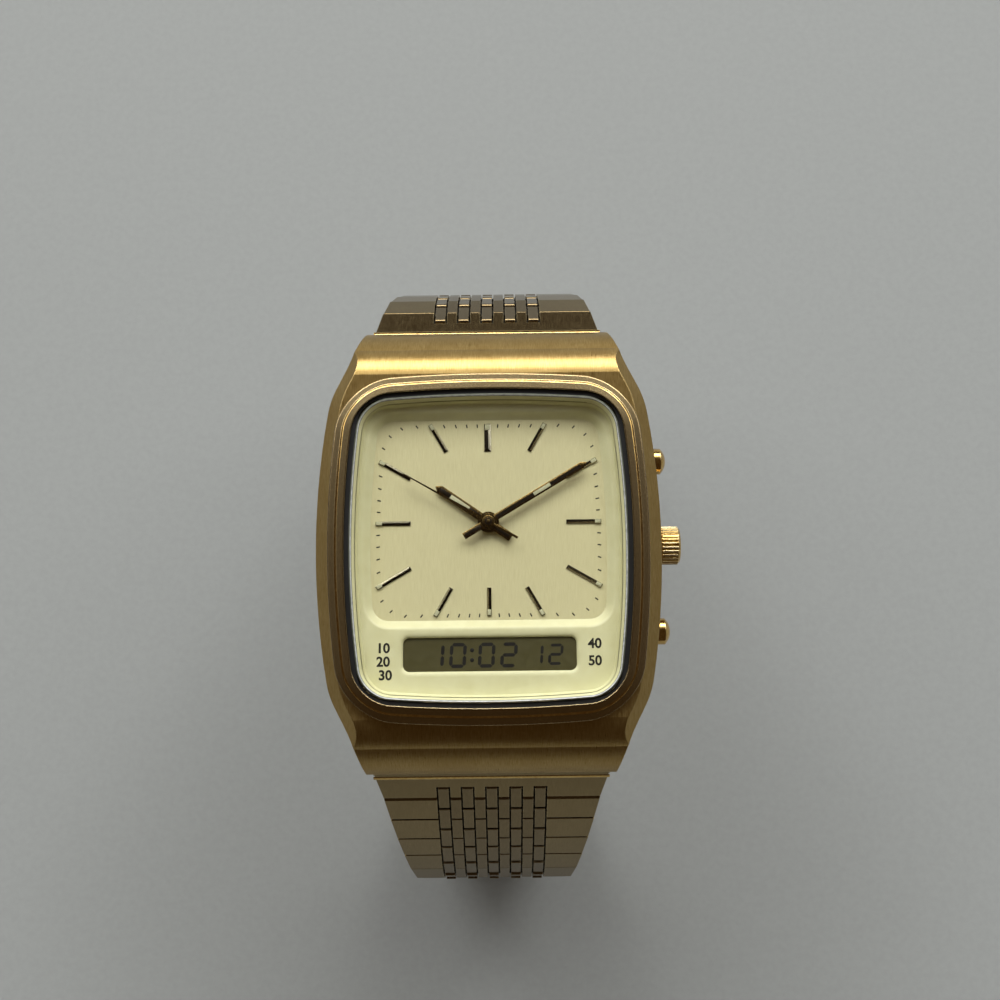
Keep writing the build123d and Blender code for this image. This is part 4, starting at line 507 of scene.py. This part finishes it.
def marker(bm, hour):
    angle = math.pi * hour / 6
    inner, outer = marker_ends(angle)
    half = TWELVE_HALF if hour == 0 else MARKER_HALF
    place = turned_to(angle, DIAL_Z)
    foot = soft_box(bm, (-half, inner, 0), (half, outer, 0.08))
    top = [face for face in {f for v in foot for f in v.link_faces} if face.normal.z > 0.9]
    bmesh.ops.inset_region(bm, faces=top, thickness=half * 0.8, depth=MARKER_TOP - 0.1, use_even_offset=True)
    sides = [face for face in {f for v in foot for f in v.link_faces} if 0.1 < face.normal.z < 0.95]
    # The long facet facing +X in the baton's own frame wears the painted highlight.
    for face in sides:
        face.material_index = 1 if face.normal.x > 0.1 else 0
    grown = list({v for f in sides for v in f.verts} | set(foot))
    bmesh.ops.transform(bm, matrix=place, verts=grown)
    soft_box(bm, (-half * 0.8, outer - LUME_LENGTH, 0.1), (half * 0.8, outer - 0.06, MARKER_TOP + 0.01), 0.03, 2,
             place)


bm = bmesh.new()
for hour in range(12):
    marker(bm, hour)
finish_piece("hour_batons", bm, [marker_dark, marker_facet_highlight, lume], "head", ["hour_markers"])

# %% [markdown]
# Between the batons, the minutes are printed as short radial strokes that follow a rounded rectangle.
# Printing is only a few hundredths of a millimetre thick, so each stroke is a very thin bar.

# %% Minute strokes
TRACK = {"half_width": 10.85, "half_length": 9.375, "corner": 2.5, "middle": 2.395, "end_radius": 4000.0}
STROKE_LENGTH, STROKE_HALF, INK = 0.36, 0.06, 0.015


def track_reach(angle):
    low, high = 0.0, 20.0
    while high - low > 1e-4:
        reach = (low + high) / 2
        x, y = reach * math.sin(angle), HANDS.y + reach * math.cos(angle)
        low, high = (reach, high) if outside(x, y, TRACK) < 0 else (low, reach)
    return reach


bm = bmesh.new()
for minute in range(60):
    if minute % 5:
        angle = math.pi * minute / 30
        reach = track_reach(angle)
        soft_box(bm, (-STROKE_HALF, reach - STROKE_LENGTH / 2, 0), (STROKE_HALF, reach + STROKE_LENGTH / 2, INK),
                 place=turned_to(angle, DIAL_Z))
finish_piece("minute_strokes", bm, [print_black], "head")

# %% [markdown]
# A hand is stamped from brass, bent slightly along its middle and gilded, so its two long halves
# catch the light differently. The hour and minute hands carry an inlay along the middle: dark near the
# hub, pale luminous paint in the middle, dark again near the tip. The tail is a short counterweight.
# Both hands stand near ten past ten, at the angles that their CAD nodes have.

# %% Hands with an inlay
TIP, HAND_THICK = 0.42, 0.15


def hand_blade(bm, length, tail, half, place):
    """A blade with a pointed tip and a square tail, its long sides sloping up to the middle."""
    made = soft_box(bm, (-half, -tail, 0), (half, length, HAND_THICK * 0.5))
    for vert in made:
        if vert.co.y > length - 1e-4:
            vert.co.x *= 0.12
            vert.co.y += TIP * 0.2
    faces = list({f for v in made for f in v.link_faces})
    edges = list({e for v in made for e in v.link_edges})
    shoulder = bmesh.ops.bisect_plane(bm, geom=faces + edges + made, plane_co=(0, length - TIP, 0),
                                      plane_no=(0, 1, 0))["geom_cut"]
    cut = [g for g in shoulder if isinstance(g, bmesh.types.BMVert)]
    for vert in cut:
        vert.co.x = math.copysign(half, vert.co.x)
    verts = list(set(made) | set(cut))
    top = [f for f in {f for v in verts for f in v.link_faces} if f.normal.z > 0.9]
    bmesh.ops.inset_region(bm, faces=top, thickness=half * 0.55, depth=HAND_THICK * 0.45, use_even_offset=True)
    beside = {v for f in top for e in f.edges for near in e.link_faces for v in near.verts}
    verts = list({v for f in top for v in f.verts} | beside | set(verts))
    bmesh.ops.transform(bm, matrix=place, verts=verts)


def disc(bm, radius, low, high, place, finish=0, steps=48, round_by=0.04):
    made = bmesh.ops.create_cone(bm, cap_ends=True, segments=steps, radius1=radius, radius2=radius,
                                 depth=high - low)["verts"]
    bmesh.ops.translate(bm, verts=made, vec=(0, 0, (low + high) / 2))
    faces = {f for v in made for f in v.link_faces}
    for face in faces:
        face.material_index = finish
    rim_edges = [e for e in {e for v in made for e in v.link_edges}
                 if len({round(v.co.z, 5) for v in e.verts}) == 1]
    made = set(made) | set(bmesh.ops.bevel(bm, geom=rim_edges, offset=round_by, offset_type="OFFSET",
                                           affect="EDGES", segments=2, profile=0.5, material=-1,
                                           clamp_overlap=True)["verts"])
    bmesh.ops.transform(bm, matrix=place, verts=[v for v in made if v.is_valid])


def inlaid_hand(name, length, tail, half, z, hub, degrees_right, inlays, node, body):
    bm = bmesh.new()
    place = turned_to(math.radians(degrees_right), z)
    hand_blade(bm, length, tail, half, place)
    disc(bm, hub, 0.0, HAND_THICK, place)
    disc(bm, hub * 0.8, HAND_THICK, HAND_THICK + 0.03, place, finish=1, round_by=0.01)
    for start, end, finish in inlays:
        soft_box(bm, (-half * 0.5, start, 0.1), (half * 0.5, end, HAND_THICK + 0.02), 0.01, finish, place)
    finish_piece(name, bm, [hand_gold, hand_dark, lume], body, [node])


inlaid_hand("hour_pointer", 6.2, 2.7, 0.42, 6.5, 1.05, -55.1,
            [(1.0, 2.3, 1), (2.3, 4.5, 2), (4.5, 5.75, 1), (-2.5, -1.0, 1)], "hour_hand", "hour_pipe")
inlaid_hand("minute_pointer", 11.2, 2.8, 0.33, 6.92, 0.8, 59.3,
            [(0.9, 5.2, 1), (5.2, 7.1, 2), (7.1, 10.6, 1), (-2.6, -0.9, 1)], "minute_hand", "minute_arbor")

# %% [markdown]
# The seconds hand is a needle. It is widest at the hub, narrows to a hair at the tip, and has a slim
# round-ended tail. A small cap and pin sit on top of it.

# %% Seconds hand
bm = bmesh.new()
place = turned_to(math.radians(-60.0), 7.2)
made = soft_box(bm, (-0.16, 0, 0), (0.16, 9.6, 0.1))
for vert in made:
    if vert.co.y > 9:
        vert.co.x *= 0.3
bmesh.ops.transform(bm, matrix=place, verts=made)
soft_box(bm, (-0.13, -3.3, 0), (0.13, 0, 0.1), 0.04, 0, place)
disc(bm, 0.6, 0.0, 0.16, place, round_by=0.06)
disc(bm, 0.36, 0.14, 0.2, place, finish=2, round_by=0.02)
disc(bm, 0.17, 0.14, 0.26, place, finish=0, steps=24, round_by=0.04)
finish_piece("seconds_pointer", bm, [hand_gold, polished_gold, hand_dark], "seconds_arbor",
             ["seconds_hand"])

# %% [markdown]
# The display shows its time in seven-segment digits. A segment is a flat bar with both ends cut to a
# point, and all digits lean a little to the right. Segments lie on the glass, a hair above it.

# %% Display digits
LCD_TOP = 6.45
SEGMENTS = {0: "abcdef", 1: "bc", 2: "abged"}
LEAN = math.radians(4)
SEGMENT_GAP, SEGMENT_THICK = 0.05, 0.012
TIME_ROW, DATE_ROW = -12.03, -11.85


def segment(bm, start, end, thick, place):
    """A bar between two points with 45 degree points at both ends."""
    start, end = Vector(start), Vector(end)
    along = (end - start).normalized()
    turn = Matrix.Translation(((start.x + end.x) / 2, (start.y + end.y) / 2, 0)) @ Matrix.Rotation(
        math.atan2(along.y, along.x), 4, "Z")
    length = (end - start).length - SEGMENT_GAP
    made = bmesh.ops.create_circle(bm, cap_ends=True, segments=6, radius=0.5)["verts"]
    for vert in made:
        side = 0 if abs(vert.co.x) < 0.1 else math.copysign(thick / 2, vert.co.x)
        inner = length / 2 - (thick / 2 if side else 0)
        vert.co = Vector((math.copysign(inner, vert.co.y), side, 0))
    face = made[0].link_faces[0]
    if face.normal.z < 0:
        face.normal_flip()
    grown = bmesh.ops.extrude_face_region(bm, geom=[face])["geom"]
    tops = [g for g in grown if isinstance(g, bmesh.types.BMVert)]
    bmesh.ops.translate(bm, verts=tops, vec=(0, 0, SEGMENT_THICK))
    bmesh.ops.transform(bm, matrix=place @ turn, verts=made + tops)


def digit(bm, value, left, bottom, width, height, thick):
    half, t = height / 2, thick / 2
    right, top = width - t, height - t
    ends = {"a": ((t, top), (right, top)), "g": ((t, half), (right, half)), "d": ((t, t), (right, t)),
            "f": ((t, half), (t, top)), "b": ((right, half), (right, top)),
            "e": ((t, t), (t, half)), "c": ((right, t), (right, half))}
    shear = Matrix.Identity(4)
    shear[0][1] = math.tan(LEAN)
    place = Matrix.Translation((left, bottom, LCD_TOP)) @ shear
    for name in SEGMENTS[value]:
        (x0, y0), (x1, y1) = ends[name]
        segment(bm, (x0, y0, 0), (x1, y1, 0), thick, place)


bm = bmesh.new()
for value, left, width in ((1, -6.1, 1.6), (0, -3.98, 1.62), (0, -1.2, 1.62), (2, 0.96, 1.62)):
    digit(bm, value, left, TIME_ROW, width, 2.4, 0.33)
for value, left, width in ((1, 3.8, 1.3), (2, 5.6, 1.42)):
    digit(bm, value, left, DATE_ROW, width, 2.05, 0.27)
for y in (-10.35, -11.3):
    disc(bm, 0.2, 0, SEGMENT_THICK, Matrix.Translation((-1.72, y, LCD_TOP)), steps=16, round_by=0.004)
finish_piece("display_digits", bm, [digit_black], "head")

# %% [markdown]
# Beside the window stand small printed labels. Here they are plain numbers. A text curve gives the
# letter shapes, and it is turned into a mesh before it is placed.

# %% Printed numbers
def printed(bm, words, x, y, height):
    curve = bpy.data.curves.new("numbers", "FONT")
    curve.body, curve.size, curve.extrude, curve.offset = words, height * 1.42, INK / 2, 0.04 * height
    holder = bpy.data.objects.new("numbers", curve)
    mesh = bpy.data.meshes.new_from_object(holder)
    mesh.transform(Matrix.Translation((x, y, PANEL_Z + INK / 2)))
    bm.from_mesh(mesh)
    for data, kept in ((holder, bpy.data.objects), (mesh, bpy.data.meshes), (curve, bpy.data.curves)):
        kept.remove(data)


bm = bmesh.new()
for words, x, y in (("10", -10.95, -10.5), ("20", -10.95, -11.8), ("30", -10.75, -13.1), ("40", 9.5, -10.25),
                    ("50", 9.5, -11.9)):
    printed(bm, words, x, y, 0.92)
finish_piece("panel_numbers", bm, [print_black], "head")

# %% [markdown]
# The bracelet's rows hinge on pins. In each row, two side plates and every second brick lie after the
# seam, and five leading bricks reach half a row ahead, between the bricks of the row before. Every
# edge is softly rounded, and the upper edge at a start is rolled over, which is why the seams look dark
# with a bright line beside them. A row is drawn flat, with its hinge at the origin.

# %% A bracelet row
PITCH, HALF_THICK, SEAM = 3.8, 0.85, 0.95
GAP, ROW_GAP = 0.15, 0.24
BRICK, COLUMNS = 1.22, 9
BAND_HALF = BRICK * COLUMNS / 2
UNDERCUT, RIGHT_ANGLED = math.radians(32), 1.2
EDGE_ROUND = 0.05


def cut_under(bm, made, start):
    """Takes the wedge off the underside of a block's start, which lets the bracelet bend."""
    faces = {f for v in made for f in v.link_faces}
    edges = {e for v in made for e in v.link_edges}
    done = bmesh.ops.bisect_plane(bm, geom=list(faces) + list(edges) + list(made), plane_co=(0, start, 0.2),
                                  plane_no=(0, -math.cos(UNDERCUT), -math.sin(UNDERCUT)), clear_outer=True)
    cut = [g for g in done["geom_cut"] if isinstance(g, bmesh.types.BMEdge)]
    filled = bmesh.ops.contextual_create(bm, geom=cut)["faces"]
    return {v for f in filled for v in f.verts} | {v for v in made if v.is_valid}


def round_start(bm, made, start, amount):
    """Rolls over the upper edge at a block's start."""
    edge = [e for e in {e for v in made for e in v.link_edges}
            if all(v.co.y < start + 1e-4 and v.co.z > 0 for v in e.verts)]
    new = bmesh.ops.bevel(bm, geom=edge, offset=amount, offset_type="OFFSET", affect="EDGES", segments=4,
                          profile=0.5, material=-1, clamp_overlap=True)["verts"]
    return [v for v in set(made) | set(new) if v.is_valid]


def soften(bm, made):
    """Rounds every right-angled edge, and leaves those that are rolled over already."""
    edges = [e for e in {e for v in made for e in v.link_edges} if e.calc_face_angle(0) > RIGHT_ANGLED]
    new = bmesh.ops.bevel(bm, geom=edges, offset=EDGE_ROUND, offset_type="OFFSET", affect="EDGES", segments=2,
                          profile=0.5, material=-1, clamp_overlap=True)["verts"]
    return [v for v in set(made) | set(new) if v.is_valid]


def side_plate(bm, side, start, end, half_start, half_end, place, under, roll):
    """A plate beside the bricks, narrowing along its outer side."""
    made = soft_box(bm, (BAND_HALF + GAP / 2, start, -HALF_THICK), (half_start, end, HALF_THICK))
    for vert in made:
        if vert.co.x > BAND_HALF + GAP and vert.co.y > (start + end) / 2:
            vert.co.x = half_end
    if roll:
        made = round_start(bm, made, start, roll)
    made = soften(bm, made)
    if under:
        made = cut_under(bm, made, start)
    if side < 0:
        bmesh.ops.scale(bm, verts=list(made), vec=(-1, 1, 1))
        bmesh.ops.reverse_faces(bm, faces=list({f for v in made for f in v.link_faces}))
    bmesh.ops.transform(bm, matrix=place, verts=list(made))


print("brick band is", BAND_HALF * 2, "mm wide")

# %% [markdown]
# A leading brick is rounded under its front, around the hinge, so that it clears the row before it when
# the bracelet bends. The other bricks and the plates start at the seam.

# %% Bricks
def brick(bm, column, start, place, leading, roll):
    x = (column - (COLUMNS - 1) / 2) * BRICK
    half = (BRICK - GAP) / 2
    end = start + PITCH - ROW_GAP
    made = soft_box(bm, (x - half, start, -HALF_THICK), (x + half, end, HALF_THICK), finish=1)
    if leading:
        front = [e for e in {e for v in made for e in v.link_edges}
                 if all(v.co.y < start + 1e-4 and v.co.z < 0 for v in e.verts)]
        new = bmesh.ops.bevel(bm, geom=front, offset=HALF_THICK - 0.02, offset_type="OFFSET", affect="EDGES",
                              segments=5, profile=0.5, material=-1, clamp_overlap=True)["verts"]
        made = [v for v in set(made) | set(new) if v.is_valid]
    if roll:
        made = round_start(bm, made, start, roll)
    made = soften(bm, made)
    if not leading:
        made = cut_under(bm, made, start)
    bmesh.ops.transform(bm, matrix=place, verts=list(made))


def pin(bm, half, place):
    made = bmesh.ops.create_cone(bm, cap_ends=True, segments=20, radius1=0.4, radius2=0.4, depth=2 * half)["verts"]
    for face in {f for v in made for f in v.link_faces}:
        # The pin wears the painted shade of the seams.
        face.material_index = 2
    bmesh.ops.transform(bm, matrix=place @ Matrix.Rotation(math.pi / 2, 4, "Y"), verts=made)


def row_of_bricks(bm, rows, half_start, half_end, place, roll):
    """All plates and bricks of a link that holds one or two rows, with its core and pin."""
    for row in range(rows):
        first = row == 0
        start = SEAM + ROW_GAP / 2 + row * PITCH
        end = start + PITCH - ROW_GAP
        half_here, half_there = (half_start + (half_end - half_start) * (row + step) / rows for step in (0, 1))
        for side in (1, -1):
            side_plate(bm, side, start, end, half_here, half_there, place, first, roll)
        for column in range(COLUMNS):
            if column % 2:
                brick(bm, column, start, place, False, roll)
            else:
                brick(bm, column, row * PITCH - SEAM + ROW_GAP / 2, place, first, roll)
    core_half, core_start, core_end = BAND_HALF + 0.3, SEAM + 0.35, rows * PITCH - SEAM - 0.05
    # The core and the pin take finish 2, the painted shade of the seams.
    soft_box(bm, (-core_half, core_start, -0.55), (core_half, core_end, 0.5), 0.05, 2, place)
    pin(bm, half_start - 0.15, place)


print("pitch", PITCH, "mm")

# %% [markdown]
# The record's hinges say where each row lies and how it slopes: a row runs from its own hinge to the
# next one. Each new row stands for its CAD node and rides on the same body. The upper edges are rolled
# over on the side beyond twelve, and by the first row below six, where wear has polished them. What lies
# deep in a seam, the core and the pin, wears a near-black gold that is painted shade for the seams' shadow.

# %% Both halves of the bracelet
shadow_gold = grained("shaded gold in the seams", "#1f190f", "#130f09", (0.3, 0.3, 0.3), 0.6, metallic=0.6)
LINK_FINISHES = [link_gold, brick_gold, shadow_gold]
ROLLED = 0.34
hinge_at = {joint["child"]: Vector(joint["pos_m"]) / MM for joint in joints.values() if "pos_m" in joint}


def link_place(here, there, drop_angle, side):
    step = there - here
    slope = math.atan2(-step.z, side * step.y) + drop_angle
    turn = Matrix.Rotation(0 if side > 0 else math.pi, 4, "Z")
    return Matrix.Translation(here) @ turn @ Matrix.Rotation(-slope, 4, "X")


def half_width(node):
    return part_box(node)[1].x / MM


for label, side, last in (("upper", 1, "clasp_hook"), ("lower", -1, "clasp_base")):
    names = [f"row_{label}_{i}" for i in range(1, 20) if f"row_{label}_{i}" in frame["nodes"]]
    for name, after in zip(names, names[1:] + [last]):
        here, there = hinge_at[name], hinge_at[after]
        end_half = half_width(after) if after in names else half_width(name) - 0.02
        roll = ROLLED if side > 0 or name == names[0] else 0.0
        bm = bmesh.new()
        row_of_bricks(bm, round((there - here).length / PITCH), half_width(name), end_half,
                      link_place(here, there, 0, side), roll)
        finish_piece(name.replace("row", "bricks"), bm, LINK_FINISHES, name, [name])

# %% [markdown]
# The end link runs from a barrel under the case's hood out to the first seam. It is one plate with five
# notches for the leading bricks, and a bright polished bead where it comes out of the case. Each notch
# is cut by planes, and its walls are then closed: a wall is found as the open edges that lie in its plane.

# %% End links
LINK_TOP, LINK_END, NOTCH_Y = 1.5, 4.2, 2.5
BEAD_Y, BEAD_WIDE, BEAD_PROUD = 0.75, 0.4, 0.04
LINK_DROP, LINK_REACH, LINK_BARREL = 0.65, 3.3, 1.5
NEAR = 1e-4


def notched(bm, made):
    """Cuts the notches for the leading bricks into the plate's end, from its top right through."""
    middles = [(column - (COLUMNS - 1) / 2) * BRICK for column in range(0, COLUMNS, 2)]
    notches = [(x - (BRICK + GAP) / 2, x + (BRICK + GAP) / 2) for x in middles]
    cuts = [((x, 0, 0), (1, 0, 0)) for notch in notches for x in notch] + [((0, NOTCH_Y, 0), (0, 1, 0))]
    for point, across in cuts:
        edges = list({e for v in made for e in v.link_edges})
        faces = list({f for v in made for f in v.link_faces})
        cut = bmesh.ops.bisect_plane(bm, geom=list(made) + edges + faces, plane_co=point, plane_no=across)
        made = set(made) | {g for g in cut["geom_cut"] if isinstance(g, bmesh.types.BMVert)}
    gone = []
    for face in {f for v in made for f in v.link_faces}:
        middle = face.calc_center_median()
        if middle.y > NOTCH_Y + 1e-3 and any(left < middle.x < right for left, right in notches):
            gone.append(face)
    bmesh.ops.delete(bm, geom=gone, context="FACES")
    made = {v for v in made if v.is_valid}
    rims = [e for e in {e for v in made for e in v.link_edges} if len(e.link_faces) == 1]
    for left, right in notches:
        for axis, level in ((0, left), (0, right), (1, NOTCH_Y)):
            wall = [e for e in rims if all(abs(v.co[axis] - level) < NEAR
                                           and left - NEAR < v.co.x < right + NEAR for v in e.verts)]
            bmesh.ops.contextual_create(bm, geom=wall)
    loose = [e for e in {e for v in made for e in v.link_edges} if not e.link_faces]
    bmesh.ops.delete(bm, geom=loose, context="EDGES")
    return [v for v in made if v.is_valid]


def end_link(label, side):
    bm = bmesh.new()
    here, there = hinge_at[f"end_link_{label}"], hinge_at[f"row_{label}_1"]
    place = link_place(here, there, math.atan2(LINK_DROP, LINK_REACH), side)
    half, half_end = half_width(f"end_link_{label}"), half_width(f"row_{label}_1")
    made = soft_box(bm, (-half, 0.0, LINK_DROP - HALF_THICK), (half, LINK_END, LINK_TOP))
    narrow = (half - half_end) / LINK_END
    for vert in made:
        vert.co.x -= math.copysign(narrow * vert.co.y, vert.co.x)
    bmesh.ops.transform(bm, matrix=place, verts=soften(bm, notched(bm, made)))
    soft_box(bm, (-half - 0.02, BEAD_Y, LINK_TOP - 0.1), (half + 0.02, BEAD_Y + BEAD_WIDE, LINK_TOP + BEAD_PROUD),
             0.09, 3, place, segments=3)
    barrel = bmesh.ops.create_cone(bm, cap_ends=True, segments=48, radius1=LINK_BARREL, radius2=LINK_BARREL,
                                   depth=2 * half)["verts"]
    bmesh.ops.transform(bm, matrix=place @ Matrix.Rotation(math.pi / 2, 4, "Y"), verts=barrel)
    finish_piece(f"end_plate_{label}", bm, LINK_FINISHES + [polished_gold], f"end_link_{label}",
                 [f"end_link_{label}"])


end_link("upper", 1)
end_link("lower", -1)

# %% [markdown]
# The floor is a plain pale sheet. A long soft lamp beyond twelve o'clock draws the bright band along the
# hood, and two smaller ones beside it light the corners and the sides. The sky is brightest half way up
# beyond twelve, which the hood and the rolled edges mirror. It is dark straight overhead, so the flat
# crystal and the nearly flat bezel mirror little, and dark elsewhere, as in a room lit from one side.

# %% Floor, sky and lamps
FLOOR_HALF, FLOOR_GAP = 1.5, 0.0002
floor_mesh = bpy.data.meshes.new("floor")
bm = bmesh.new()
bmesh.ops.create_grid(bm, x_segments=1, y_segments=1, size=FLOOR_HALF)
bmesh.ops.translate(bm, verts=bm.verts, vec=(0, 0, cad_box[0][2] - FLOOR_GAP))
bm.to_mesh(floor_mesh)
bm.free()
floor = bpy.data.objects.new("floor", floor_mesh)
bpy.context.scene.collection.objects.link(floor)
floor_mesh.materials.append(grained("pale grey card", "#a3a6a4", "#9da09e", (0.8, 0.8, 0.8), 0.8, metallic=0.0,
                                    relief=0.01))

SKY_DARK, SKY_BRIGHT = "#453829", "#d8dbdc"
BRIGHTEST = (0.0, 0.5, 0.866)
world = bpy.data.worlds.new("studio sky")
bpy.context.scene.world = world
world.use_nodes = True
tree = world.node_tree
tree.nodes.clear()
toward = add(tree, "TexCoord").outputs["Generated"]
lean = add(tree, "VectorMath", {0: toward, 1: BRIGHTEST}, operation="DOT_PRODUCT")
near_lamp = add(tree, "MapRange", {"Value": lean.outputs["Value"], "From Min": 0.55, "From Max": 1.0},
                interpolation_type="SMOOTHSTEP")
parts = add(tree, "SeparateXYZ", {0: toward})
off_zenith = add(tree, "MapRange", {"Value": parts.outputs["Z"], "From Min": 0.93, "From Max": 0.8},
                 interpolation_type="SMOOTHSTEP")
lit = add(tree, "Math", {0: near_lamp.outputs[0], 1: off_zenith.outputs[0]}, operation="MULTIPLY")
shade = add(tree, "Mix", {0: lit.outputs[0], 6: linear(SKY_DARK), 7: linear(SKY_BRIGHT)}, data_type="RGBA")
sky = add(tree, "Background", {"Color": shade.outputs[2], "Strength": 1.0})
add(tree, "OutputWorld", {"Surface": sky.outputs[0]})


def lamp(name, place, aim, size, power):
    data = bpy.data.lights.new(name, "AREA")
    data.shape, data.size, data.size_y, data.energy = "RECTANGLE", size[0], size[1], power
    light = bpy.data.objects.new(name, data)
    light.location = place
    light.rotation_euler = (Vector(aim) - Vector(place)).to_track_quat("-Z", "Y").to_euler()
    bpy.context.scene.collection.objects.link(light)


lamp("long lamp beyond twelve", (0.0, 1.592, 1.115), (0, 0.01, 0), (2.7, 0.9), 50.0)
for side in (1, -1):
    lamp(f"lamp at the corner {side}", (1.28 * side, 1.07, 1.15), (0, 0, 0), (1.26, 0.8), 8.0)
print("floor at", round(cad_box[0][2] / MM, 2), "mm")

# %% [markdown]
# The photograph was taken from almost straight above, a hand's width over the watch and a little
# towards six o'clock, which is why the rows beyond twelve show less than those below six.

# %% Camera
CAMERA_PLACE, CAMERA_TILT, CAMERA_ROLL, FOCAL_MM = (0.00116, -0.0145, 0.13776), 8.154, -0.68, 48.56
camera_data = bpy.data.cameras.new("camera")
camera_data.sensor_width, camera_data.lens = 36.0, FOCAL_MM
camera_data.clip_start, camera_data.clip_end = 0.005, 10.0
camera = bpy.data.objects.new("camera", camera_data)
bpy.context.scene.collection.objects.link(camera)
camera.matrix_world = (Matrix.Translation(CAMERA_PLACE) @ Matrix.Rotation(math.radians(CAMERA_TILT), 4, "X")
                       @ Matrix.Rotation(math.radians(CAMERA_ROLL), 4, "Z"))
bpy.context.scene.camera = camera
bpy.context.scene.view_settings.view_transform = "Standard"
print("camera", CAMERA_PLACE)
